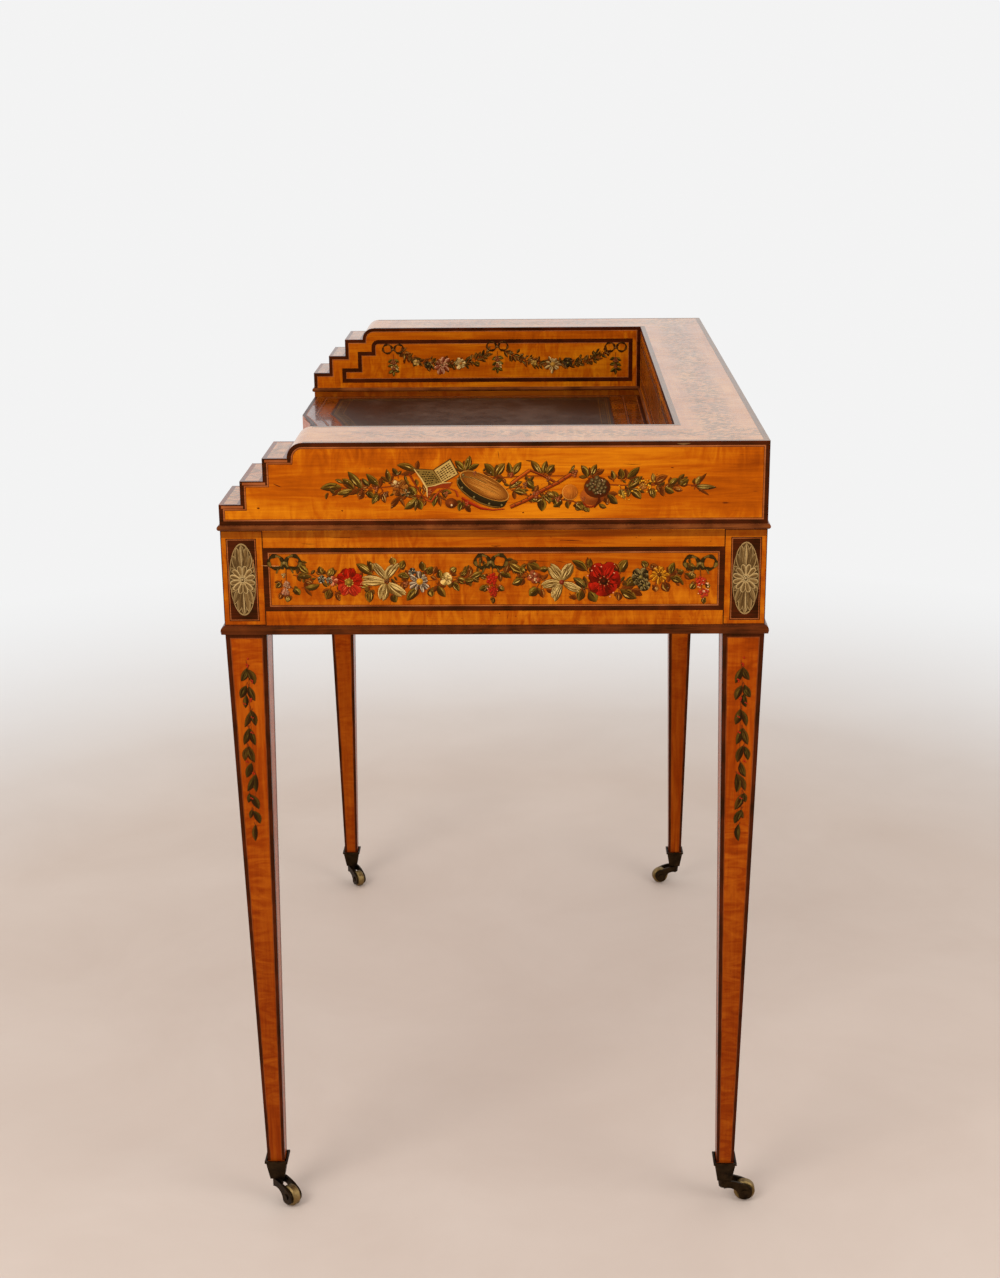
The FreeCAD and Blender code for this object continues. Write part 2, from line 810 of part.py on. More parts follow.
def castor_wheel():
    """Solid wheel turned in one piece: softened tread, a recess round each hub face and a bore."""
    half = wheel_width / 2
    bore_radius = axle_radius + axle_running_clearance
    recess_radius = wheel_radius - 2 * wheel_edge_bevel
    # Radius and distance from the middle, from the bore out to the tread
    outline = [
        (bore_radius, half),
        (wheel_hub_radius, half),
        (wheel_hub_radius, half - wheel_hub_recess),
        (recess_radius, half - wheel_hub_recess),
        (recess_radius, half),
        (wheel_radius - wheel_edge_bevel, half),
        (wheel_radius, half - wheel_edge_bevel),
    ]
    outline += [(radius, -place) for radius, place in reversed(outline)]
    points = [Vector(castor_trail, place, wheel_radius + radius) for radius, place in outline]
    section = Part.Face(Part.makePolygon(points + points[:1]))
    return section.revolve(Vector(castor_trail, 0, wheel_radius), Vector(0, 1, 0), FULL_TURN)


def castor_axle():
    """Riveted axle through both cheeks."""
    end = cheek_outer_y + axle_head_height
    # Radius and distance from the middle, from one riveted head to the other
    turned = [
        (0, end),
        (axle_head_radius, end),
        (axle_head_radius, cheek_outer_y),
        (axle_radius, cheek_outer_y),
    ]
    turned += [(radius, -place) for radius, place in reversed(turned)]
    points = [Vector(castor_trail, place, wheel_radius + radius) for radius, place in turned]
    section = Part.Face(Part.makePolygon(points + points[:1]))
    return section.revolve(Vector(castor_trail, 0, wheel_radius), Vector(0, 1, 0), FULL_TURN)


def put_under_leg(shape, side, end, heading):
    """A castor's piece, turned to its heading and moved to the leg's foot."""
    shape = shape.copy()
    shape.rotate(ORIGIN, UP, heading)
    shape.translate(Vector(side * foot_centre_x, end * foot_centre_y, 0))
    return shape


def group(shapes):
    """Several solids that share one node."""
    return Part.makeCompound(shapes)


def build():
    """Every node of the desk by name."""
    nodes = {}
    cup = castor_cup()
    horn = castor_horn()
    wheel = castor_wheel()
    axle = castor_axle()
    for end_name, end in ENDS.items():
        for side_name, side in SIDES.items():
            corner = end_name + "_" + side_name
            heading = castor_headings[corner]
            nodes["leg_" + corner] = leg(side, end)
            nodes["castor_cup_" + corner] = put_under_leg(cup, side, end, 0)
            nodes["castor_horn_" + corner] = put_under_leg(horn, side, end, heading)
            nodes["castor_axle_" + corner] = put_under_leg(axle, side, end, heading)
            nodes["castor_wheel_" + corner] = put_under_leg(wheel, side, end, heading)

    rails = [front_rail(carcase_bottom, drawer_floor_z), front_rail(drawer_ceiling_z, carcase_top)]
    nodes["front_bottom_rail"] = rails[0]
    nodes["front_top_rail"] = rails[1]
    nodes["back_rail"] = back_rail()
    nodes["drawer_dividers"] = group([divider(side, rails) for side in SIDES.values()])
    nodes["drawer_runners"] = group(runners())
    nodes["drawer_guides"] = group(guides())
    nodes["table_top"] = table_top()
    nodes["writing_leather"] = leather()
    nodes["base_moulding"] = group(base_moulding())
    nodes["waist_moulding"] = group(waist_moulding())

    nodes["gallery_base"] = group(gallery_base())
    outer = arm_slice(half_length - gallery_board, half_length, cap_thickness, half_depth)
    inner = arm_slice(arm_inner_x, arm_inner_x + gallery_board, cap_thickness,
                      back_inner_y + gallery_board)
    cap = arm_cap()
    for side_name, side in SIDES.items():
        turned = (lambda shape: shape) if side > 0 else mirrored
        nodes[side_name + "_end_rail"] = end_rail(side)
        nodes[side_name + "_arm_outer_side"] = turned(outer)
        nodes[side_name + "_arm_inner_side"] = turned(inner)
        nodes[side_name + "_arm_cap"] = turned(cap)
    nodes["gallery_back_cap"] = back_cap()
    nodes["gallery_back_board"] = box(gallery_board - half_length, half_length - gallery_board,
                                      small_back_y, half_depth, waist_height, cap_underside)
    nodes["gallery_top_rail"] = box(-arm_inner_x, arm_inner_x, back_inner_y,
                                    back_inner_y + gallery_board, small_ceiling_z, cap_underside)
    nodes["gallery_partitions"] = group(partitions())
    nodes["gallery_floor"] = box(-arm_inner_x, arm_inner_x, back_inner_y, small_back_y,
                                 waist_height, small_floor_z)

    openings = {
        "left": (-leg_inner_x, -divider_outer_x, side_drawer_knob_share),
        "centre": (-divider_inner_x, divider_inner_x, centre_drawer_knob_share),
        "right": (divider_outer_x, leg_inner_x, side_drawer_knob_share),
    }
    for name, (x0, x1, share) in openings.items():
        front, parts, knobs = frieze_drawer(x0, x1, share)
        nodes[name + "_drawer_front"] = front
        nodes[name + "_drawer_box"] = group(parts)
        nodes[name + "_drawer_knobs"] = group(knobs)
    for index, name in enumerate(("left", "centre", "right")):
        front, parts = small_drawer(index)
        nodes["gallery_" + name + "_drawer_front"] = front
        nodes["gallery_" + name + "_drawer_box"] = group(parts)
    return nodes


def main():
    os.makedirs("parts", exist_ok=True)
    for name, shape in build().items():
        print(name, len(shape.Solids), round(shape.Volume), shape.isValid())
        shape.exportStep("parts/" + name + ".step")


main()
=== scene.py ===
import math
import random

import bpy
from mathutils import Matrix, Vector


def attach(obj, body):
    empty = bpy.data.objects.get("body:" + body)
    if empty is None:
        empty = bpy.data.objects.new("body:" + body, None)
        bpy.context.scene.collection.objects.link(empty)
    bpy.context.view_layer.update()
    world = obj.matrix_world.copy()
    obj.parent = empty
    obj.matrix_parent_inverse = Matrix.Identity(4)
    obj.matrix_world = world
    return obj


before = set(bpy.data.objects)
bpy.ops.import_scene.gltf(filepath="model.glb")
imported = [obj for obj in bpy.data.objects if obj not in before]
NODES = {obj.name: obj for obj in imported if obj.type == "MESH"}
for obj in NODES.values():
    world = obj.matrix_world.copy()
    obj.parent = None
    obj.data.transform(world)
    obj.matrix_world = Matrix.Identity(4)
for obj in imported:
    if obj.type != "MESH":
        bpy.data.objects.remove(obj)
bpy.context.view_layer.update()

MM = 0.001
TAU = math.tau

# The desk's own sizes in millimetres, as the CAD part has them: X to the sitter's right, Y to the back, Z up
HALF_LENGTH = 465
HALF_DEPTH = 279
FRONT = -HALF_DEPTH
WAIST = 800
TOP = 885
WRITING = 787
FRIEZE_FOOT = 684.3
BASE_TOP = 693.6
BEAD_FOOT = 794.2
ARM_INNER = 375
BACK_INNER = 189
BOW_RADIUS = 645.3
BOW_CENTRE = -882.3
DRAWERS = {"left": (-421.5, -237.5), "centre": (-220.5, 220.5), "right": (237.5, 421.5)}

# Legs: the leg is measured from its foot, and shows from the castor's cup up to the frieze
LEG_FOOT = 49
ANKLE = 52
FOOT_HALF = 9.5
LEG_SPREAD = 12
FOOT_PLACE = (441.5, 255.5)
LEG_LEAN = 2

# Arms: height, front and back of each tread, and the quarter round above the last one
TREADS = ((821.4, -279, -256.5), (845.6, -256.5, -232.8), (869, -232.8, -207.5))
ROUND_CENTRE = (-191.5, 869)
ROUND_RADIUS = 16

# Leather: its half length, its back and its distance from the table's edge
LEATHER_HALF = 357
LEATHER_BACK = 144
LEATHER_GAP = 39

# Frieze: half lengths, foot and top of its panels, and the blocks on the posts
END_PANEL = 236
BACK_PANEL = 422
PANEL_FOOT = 708.6
PANEL_TOP = 776.1
BLOCK_HALF = 15.6
BLOCK_FOOT = 698
BLOCK_TOP = 786
FRONT_BLOCK_TOP = 764
END_BLOCK = 258.1
FRONT_BLOCK = 443.5

# Thin work: how deep it is sunk, how high bands and lines stand, and how much higher flowers lie than leaves
SUNK = -0.12
BAND_RISE = 0.10
LINE_RISE = 0.13
FLOWER_LEVEL = 0.14
BLACK = (0, 0, 0)


def blend(a, b, t):
    """Colour or point a share t of the way from a to b."""
    return tuple(x + (y - x) * t for x, y in zip(a, b))


def polar(c, angle, rx, ry=None):
    """Point round c, on a circle or an ellipse."""
    return (c[0] + math.cos(angle) * rx, c[1] + math.sin(angle) * (rx if ry is None else ry))


def oval(c, rx, ry, n):
    return [polar(c, TAU * i / n, rx, ry) for i in range(n)]


def quarter(c, r, n):
    """Points up a quarter round, from its left end to its top, without the first."""
    return [polar(c, math.pi - i * math.pi / (2 * n), r) for i in range(1, n + 1)]


def scattered(c, reach, n, start=0.4, squash=1.0):
    """Places spread evenly over a round patch, along a sunflower's spiral."""
    golden_angle = 2.399
    out = []
    for i in range(n):
        d = reach * math.sqrt((i + start) / n)
        out.append(polar(c, i * golden_angle, d, d * squash))
    return out


def heading(a, b):
    return math.atan2(b[1] - a[1], b[0] - a[0])


def rect(u0, v0, u1, v1):
    return [(u0, v0), (u1, v0), (u1, v1), (u0, v1)]


def linear(colour):
    """sRGB 0 to 255 to linear 0 to 1."""
    shares = [c / 255 for c in colour]
    return tuple(c / 12.92 if c <= 0.04045 else ((c + 0.055) / 1.055) ** 2.4 for c in shares) + (1.0,)


# Camera, lights and pieces

# The fitted lens, in pixels of a frame as high as the photograph, and the film's height in mm
FOCAL_PIXELS = 1913.5
FRAME_PIXELS = 1278
FILM = 36


def placed(name, data):
    piece = bpy.data.objects.new(name, data)
    bpy.context.scene.collection.objects.link(piece)
    return piece


def add_camera():
    """The photograph's view, as fitted to the desk's corners and edges."""
    data = bpy.data.cameras.new("camera")
    data.sensor_fit = "AUTO"
    data.sensor_width = FILM
    data.lens = FOCAL_PIXELS * FILM / FRAME_PIXELS
    data.clip_start = 0.05
    data.clip_end = 100
    camera = placed("camera", data)
    forward = Vector((-0.956, -0.02438, -0.29237)).normalized()
    right = forward.cross(Vector((-0.29251, 0.00244, 0.95626))).normalized()
    turn = Matrix((right, right.cross(forward), -forward)).transposed().to_4x4()
    camera.matrix_world = Matrix.Translation((2.3597, 0.0545, 1.2575)) @ turn
    bpy.context.scene.camera = camera


def area_light(name, place, target, size, power):
    data = bpy.data.lights.new(name, "AREA")
    data.shape = "DISK"
    data.size = size
    data.energy = power
    light = placed(name, data)
    light.location = place
    light.rotation_euler = (Vector(target) - Vector(place)).to_track_quat("-Z", "Y").to_euler()


# Materials

# Reflections seen square on take the colour of the varnish; those along a surface stay white
WARM_TINT = (0.34, 0.14, 0.03, 1)
PAINT_TINT = (0.36, 0.17, 0.05, 1)
CLEAR_TINT = (1, 1, 1, 1)
SATINWOOD = ((126, 47, 2), (169, 75, 3), (206, 115, 10))
SURROUND = linear((240, 240, 240))
SURROUND_STRENGTH = 1.03


class Material:
    """A node material with one Principled shader, and short calls that add nodes to it."""

    def __init__(self, name, **sockets):
        self.data = bpy.data.materials.new(name)
        self.data.use_nodes = True
        self.tree = self.data.node_tree
        self.tree.nodes.clear()
        self.out = self.tree.nodes.new("ShaderNodeOutputMaterial")
        self.shader = self.node("BsdfPrincipled")
        self.feed(self.out.inputs[0], self.shader.outputs[0])
        for key, value in sockets.items():
            self.shader.inputs[key.replace("_", " ")].default_value = value
        self.place = self.node("TexCoord").outputs["Object"]
        self.normal = self.split(self.node("NewGeometry").outputs["Normal"])

    def node(self, kind, *inputs, **props):
        n = self.tree.nodes.new("ShaderNode" + kind)
        for key, value in props.items():
            setattr(n, key, value)
        for socket, value in zip(n.inputs, inputs):
            self.feed(socket, value)
        return n

    def feed(self, socket, value):
        if isinstance(value, bpy.types.NodeSocket):
            self.tree.links.new(value, socket)
        elif value is not None:
            socket.default_value = value

    def maths(self, operation, a, b=None, c=None):
        return self.node("Math", a, b, c, operation=operation).outputs[0]

    def plus(self, a, b):
        return self.maths("ADD", a, b)

    def minus(self, a, b):
        return self.maths("SUBTRACT", a, b)

    def times(self, a, b):
        return self.maths("MULTIPLY", a, b)

    def times_plus(self, a, b, c):
        return self.maths("MULTIPLY_ADD", a, b, c)

    def below(self, a, b):
        return self.maths("LESS_THAN", a, b)

    def above(self, a, b):
        return self.maths("GREATER_THAN", a, b)

    def split(self, vector):
        return self.node("SeparateXYZ", vector).outputs

    def join(self, x, y, z):
        return self.node("CombineXYZ", x, y, z).outputs[0]

    def texture(self, kind, output, vector, scale, **settings):
        """Texture at one scale, or at one scale for each axis."""
        if isinstance(scale, tuple):
            vector = self.node("VectorMath", vector, scale, operation="MULTIPLY").outputs[0]
            scale = 1.0
        n = self.node(kind)
        self.feed(n.inputs["Vector"], vector)
        for key, value in dict(settings, Scale=scale).items():
            n.inputs[key].default_value = value
        return n.outputs[output]

    def noise(self, vector, scale, detail=3.0, rough=0.5, distortion=0.0):
        settings = {"Detail": detail, "Roughness": rough, "Distortion": distortion}
        return self.texture("TexNoise", "Fac", vector, scale, **settings)

    def spots(self, vector, scale):
        return self.texture("TexVoronoi", "Distance", vector, scale)

    def ramp(self, factor, *stops):
        n = self.node("ValToRGB", factor)
        elements = n.color_ramp.elements
        while len(elements) < len(stops):
            elements.new(0.5)
        for element, (place, colour) in zip(elements, stops):
            element.position = place
            element.color = linear(colour) if isinstance(colour, tuple) else (colour, colour, colour, 1)
        return n.outputs[0]

    def mix(self, factor, a, b, blend="MIX"):
        n = self.node("Mix", data_type="RGBA", blend_type=blend)
        for socket, value in zip((0, 6, 7), (factor, a, b)):
            self.feed(n.inputs[socket], value)
        return n.outputs[2]

    def stained(self, colour, stain, where=1.0):
        """Colour multiplied by another where a factor says so."""
        return self.mix(where, colour, stain, "MULTIPLY")

    def base(self, colour):
        self.feed(self.shader.inputs["Base Color"], colour)

    def surface(self, low, high, factor, height, distance, strength):
        """Roughness between two values, and a bump."""
        n = self.node("MapRange", factor)
        n.inputs["To Min"].default_value = low
        n.inputs["To Max"].default_value = high
        self.feed(self.shader.inputs["Roughness"], n.outputs[0])
        n = self.node("Bump")
        n.inputs["Strength"].default_value = strength
        n.inputs["Distance"].default_value = distance
        self.feed(n.inputs["Height"], height)
        self.feed(self.shader.inputs["Normal"], n.outputs[0])
        return self.data


def along_grain(m):
    """Coordinates whose first one runs with the grain: level on every face, and upright on the legs."""
    x, y, z = m.split(m.place)
    on_end = m.above(m.maths("ABSOLUTE", m.normal[0]), 0.7)
    along = m.times_plus(on_end, m.minus(y, x), x)
    across = m.times_plus(on_end, m.minus(x, y), y)
    return m.mix(m.below(z, FRIEZE_FOOT * MM), m.join(along, z, across), m.join(z, x, y))


def faded_leaves(m):
    """Soft leaf-shaped marks along the middle line of the gallery's level tops and on the treads, 0 to 1."""
    arm_middle, back_middle, half_band = 0.42, 0.234, 0.011
    x, y, z = m.split(m.place)
    from_arm = m.maths("ABSOLUTE", m.minus(m.maths("ABSOLUTE", x), arm_middle))
    from_back = m.maths("ABSOLUTE", m.minus(y, back_middle))
    tread = m.below(z, 0.88)
    off = m.maths("MINIMUM", from_arm, m.plus(from_back, tread))
    ragged = m.times_plus(m.noise(m.place, 55, 2), 2 * half_band, m.minus(off, half_band))
    ragged = m.minus(ragged, m.times(tread, half_band))
    band = m.ramp(m.times(ragged, 10.0), (0.14, 1.0), (0.27, 0.0))
    plain_end = m.ramp(m.plus(m.plus(y, 0.5), tread), (0.32, 0.0), (0.37, 1.0))
    marks = 0.0
    for turn, long, short in ((0.45, 66, 150), (-0.6, 70, 165), (1.7, 64, 158), (2.4, 80, 180)):
        c, s = math.cos(turn), math.sin(turn)
        u = m.plus(m.times(x, c * long), m.times(y, s * long))
        v = m.minus(m.times(y, c * short), m.times(x, s * short))
        leaf = m.ramp(m.spots(m.join(u, v, turn * 7), 1.0), (0.22, 1.0), (0.44, 0.0))
        marks = m.maths("MAXIMUM", leaf, marks)
    return m.times(m.times(band, plain_end), marks)


def satinwood(name, tones=SATINWOOD, gloss=0.17, tint=WARM_TINT, coat=0.0):
    """Figured satinwood under old polish: fine lines with the grain, a soft flame and broad patches."""
    m = Material(name, Specular_Tint=tint, Coat_Roughness=0.06, Coat_IOR=1.5 if coat else 1.9)
    grain = along_grain(m)
    patches = m.noise(grain, (5, 15, 15), 3, distortion=0.7)
    lines = m.noise(grain, (12, 480, 480), 4, 0.6, 0.2)
    streaks = m.noise(grain, (9, 110, 110), 4, 0.6, 0.8)
    flame = m.noise(grain, (78, 24, 24), 5, 0.55, 1.8)
    where = m.ramp(m.noise(grain, (5, 9, 9), 1), (0.42, 0.1), (0.56, 1.0))
    figure = m.times_plus(patches, 0.27, 0.138)
    figure = m.times_plus(m.mix(where, streaks, flame), 0.34, figure)
    figure = m.times_plus(lines, 0.10, figure)
    stops = (0.36, 0.47, 0.58)
    colour = m.ramp(figure, *zip(stops, tones))
    z = m.split(m.place)[2]
    upward = m.above(m.normal[2], 0.5)
    # Heights in metres
    shelf_middle, shelf_reach, strip_foot, strip_top = 0.783, 0.007, 0.7868, 0.7935
    # The writing surface is a browner wood, darkened further by painted shade, and shinier than the rest
    shelf = m.times(upward, m.maths("COMPARE", z, shelf_middle, shelf_reach))
    colour = m.stained(colour, (0.33, 0.30, 0.66, 1), shelf)
    shine = m.times_plus(shelf, 0.45, coat)
    if coat:
        # The level tops take paler colours than the sides; their edges keep the colour of the sides
        level = m.ramp(m.normal[2], (0.3, 0.0), (0.8, 1.0))
        colour = m.mix(level, m.ramp(figure, *zip(stops, SATINWOOD)), colour)
        m.feed(m.shader.inputs["Specular Tint"], m.mix(level, WARM_TINT, tint))
        leaves = m.times(faded_leaves(m), upward)
        colour = m.mix(m.times(leaves, 0.7), colour, linear((112, 90, 64)))
        shine = m.times(m.times(shine, level), m.times_plus(leaves, -0.5, 1.0))
    m.feed(m.shader.inputs["Coat Weight"], shine)
    # The frieze is a little darker. The legs are a darker tone, with painted shade that deepens towards the
    # floor, and the strip under the gallery's bead gets painted shade from the bead
    frieze = m.below(z, strip_top)
    colour = m.stained(colour, (0.84, 0.76, 1, 1), frieze)
    # Legs: a darker tone, and painted shade that grows from 0.56 m down to 0.3 m
    leg = m.ramp(z, (0.3, (212, 188, 255)), (0.56, (238, 217, 255)))
    colour = m.stained(colour, leg, m.below(z, FRIEZE_FOOT * MM))
    # Painted shade on the strip under the gallery's bead
    bead_shade = m.times(m.above(z, strip_foot), m.minus(frieze, upward))
    colour = m.stained(colour, (0.52, 0.5, 1, 1), bead_shade)
    colour = m.stained(colour, m.ramp(m.noise(grain, (60, 1500, 1500), 2), (0.28, 0.6), (0.36, 1.0)), 0.5)
    flecks = m.ramp(m.spots(grain, (18, 62, 62)), (0.03, 1.0), (0.075, 0.0))
    sparse = m.ramp(m.noise(m.place, 9, 1), (0.54, 0.0), (0.6, 0.9))
    m.base(m.mix(m.times(flecks, sparse), colour, linear((84, 26, 4))))
    wear = m.noise(m.place, 38, 4)
    return m.surface(gloss, gloss + 0.2, wear, m.times_plus(lines, 0.5, wear), 0.00012, 0.3)


def dark_wood(name, dark, light, gloss=0.25, tint=WARM_TINT):
    """Close-grained dark banding and mouldings, streaked and rubbed."""
    m = Material(name, Specular_Tint=tint)
    lines = m.noise(along_grain(m), (30, 700, 700), 4, 0.65)
    patches = m.noise(m.place, 34, 4, distortion=0.4)
    tone = m.plus(m.times(lines, 0.45), m.times(patches, 0.55))
    m.base(m.ramp(tone, (0.36, dark), (0.66, light)))
    return m.surface(gloss, gloss + 0.2, patches, tone, 0.00015, 0.5)


def lining_wood():
    """Plain straight-grained lining of the drawers and the carcase, dry and unpolished."""
    m = Material("lining", IOR=1.4)
    x, y, z = m.split(m.place)
    rings = m.times_plus(x, 150.0, m.times(m.noise(m.place, (9, 1.4, 9), 2), 11.0))
    bands = m.maths("ABSOLUTE", m.maths("SINE", m.times_plus(z, 190.0, rings)))
    lines = m.noise(m.place, (420, 14, 420), 4, 0.6)
    tone = m.plus(m.times(bands, 0.12), m.times(lines, 0.84))
    m.base(m.ramp(tone, (0.25, (118, 74, 38)), (0.5, (158, 108, 62)), (0.8, (184, 136, 84))))
    return m.surface(0.5, 0.75, lines, lines, 0.0002, 0.5)


def hide():
    """Old dark leather with a fine pebbled grain, rubbed paler where it is used."""
    m = Material("hide", IOR=1.36, Specular_Tint=(0.7, 0.5, 0.4, 1))
    fold = m.noise(m.place, 46, 5, 0.6)
    scuffs = m.ramp(m.noise(m.place, 90, 2, distortion=2.2), (0.66, 0.0), (0.74, 0.6))
    tone = m.plus(m.times(fold, 0.4), m.times(m.noise(m.place, 5.5, 3), 0.6))
    colour = m.ramp(tone, (0.34, (26, 15, 10)), (0.5, (46, 31, 22)), (0.64, (78, 58, 46)))
    m.base(m.mix(scuffs, colour, linear((96, 74, 58))))
    return m.surface(0.24, 0.62, tone, m.times_plus(fold, 0.8, m.spots(m.place, 620)), 0.0003, 0.6)


def metal(name, dark, light, rough, grime):
    """Worn metal: bright where it is rubbed, dull and dark in the low places."""
    m = Material(name, Metallic=1.0)
    patina = m.noise(m.place, 120, 5, 0.6)
    tone = m.plus(m.times(patina, 0.7), m.times(m.noise(m.place, 840, 3), 0.3))
    m.base(m.ramp(tone, (0.3, dark), (0.66, light)))
    return m.surface(rough, rough + grime, patina, tone, 0.0002, 0.4)


def paint(name, varnish):
    """Oil paint under yellowed varnish. Each piece's own colour layer holds its colours."""
    m = Material(name, Specular_Tint=PAINT_TINT)
    own = m.node("Attribute", attribute_name="tone").outputs["Color"]
    strokes = m.noise(m.place, (900, 900, 1500), 3, 0.6, 1.0)
    m.base(m.stained(m.stained(own, m.ramp(strokes, (0.25, 0.72), (0.5, 1.0), (0.75, 1.18))), varnish))
    return m.surface(0.25, 0.45, strokes, strokes, 0.0001, 0.5)


def floor_material():
    m = Material("floor", Roughness=0.6, IOR=1.3)
    x, y, z = m.split(m.place)
    out = m.times(m.maths("SQRT", m.times_plus(x, x, m.times(y, y))), 0.4)
    near = m.ramp(m.noise(m.place, 3.2, 6, 0.62, 0.4), (0.2, (200, 181, 167)), (0.8, (210, 193, 180)))
    m.base(m.mix(m.ramp(out, (0.36, 0.0), (0.9, 1.0)), near, linear((232, 231, 230))))
    # Towards its rim the floor takes the surround's own colour, for the eye and for reflections alone
    path = m.node("LightPath").outputs
    seen = m.maths("MAXIMUM", path["Is Glossy Ray"], path["Is Transmission Ray"])
    faded = m.times(m.ramp(out, (0.5, 0.0), (0.97, 1.0)), m.maths("MAXIMUM", path["Is Camera Ray"], seen))
    glow = m.node("Emission", SURROUND, SURROUND_STRENGTH).outputs[0]
    m.feed(m.out.inputs[0], m.node("MixShader", faded, m.shader.outputs[0], glow).outputs[0])
    return m.data


def floor():
    """A plain round floor that fades into the pale surround."""
    radius, sides = 2.5, 96
    mesh = bpy.data.meshes.new("floor")
    points = [(x, y, 0) for x, y in oval((0, 0), radius, radius, sides)]
    mesh.from_pydata(points, [], [list(range(sides))])
    mesh.materials.append(floor_material())
    piece = placed("floor", mesh)


# Thin closed work laid on a face


def band_face(axis, sign, at):
    """Face square to X, Y or Z at a place in mm. Points on it are level and up, or X and Y on a top."""
    def point(u, v, h):
        place = [u, v]
        place.insert("XYZ".index(axis), at + sign * h)
        return Vector(place) * MM
    return point, (sign > 0) == (axis == "Y")


def bow_corner(gap=0.0):
    """Half the length of the bow, on a front moved back by gap."""
    return math.sqrt((BOW_RADIUS + gap) ** 2 - (FRONT + gap - BOW_CENTRE) ** 2)


def bow_y(x, gap=0.0):
    if abs(x) >= bow_corner(gap):
        return FRONT + gap
    return BOW_CENTRE + math.sqrt((BOW_RADIUS + gap) ** 2 - x * x)


def bow_point(u, v, h):
    """Point on the front, which is straight at both ends and bowed in the middle."""
    y = bow_y(u)
    if y == FRONT:
        return Vector((u, y - h, v)) * MM
    out = Vector((-u, BOW_CENTRE - y, 0)).normalized()
    return (Vector((u, y, v)) + out * h) * MM


def leg_share(v):
    return (v - LEG_FOOT) / (FRIEZE_FOOT - LEG_FOOT)


def leg_half(v):
    return FOOT_HALF + LEG_SPREAD * leg_share(v)


def leg_face(side, end, nx, ny):
    """One tapered face of a leg. u runs from its centre line and v is the height."""
    def point(u, v, h):
        lean = LEG_LEAN * leg_share(v)
        out = leg_half(v) + h
        x = side * (FOOT_PLACE[0] + lean) + nx * out - ny * u
        y = end * (FOOT_PLACE[1] + lean) + ny * out + nx * u
        return Vector((x, y, v)) * MM
    return point, False


END = {"right": band_face("X", 1, HALF_LENGTH), "left": band_face("X", -1, -HALF_LENGTH)}
ARM = {"right": band_face("X", -1, ARM_INNER), "left": band_face("X", 1, -ARM_INNER)}
BACK = band_face("Y", 1, HALF_DEPTH)
BOW = (bow_point, False)


def sides_of(outline):
    return zip(outline, outline[1:] + outline[:1])


def area_of(outline):
    return sum(a[0] * b[1] - b[0] * a[1] for a, b in sides_of(outline)) / 2


def anticlockwise(outline):
    return outline[::-1] if area_of(outline) < 0 else outline


def inset(outline, d):
    """Outline drawn in by d, with its corners kept."""
    turn = 1 if area_of(outline) > 0 else -1
    edges = [Vector((b[0] - a[0], b[1] - a[1])).normalized() for a, b in zip(outline[-1:] + outline, outline)]
    normals = [Vector((-e.y, e.x)) * turn for e in edges]
    out = []
    for b, n0, n1 in zip(outline, normals, normals[1:] + normals[:1]):
        m = (n0 + n1) / max(1 + n0.dot(n1), 0.2)
        out.append((b[0] + m.x * d, b[1] + m.y * d))
    return out


def counts_of(outline, step):
    return [max(1, math.ceil(math.dist(a, b) / step)) if step else 1 for a, b in sides_of(outline)]


def divided(outline, counts):
    """Outline with points added along its sides, so that it follows a curved face."""
    return [blend(a, b, k / n) for (a, b), n in zip(sides_of(outline), counts) for k in range(n)]


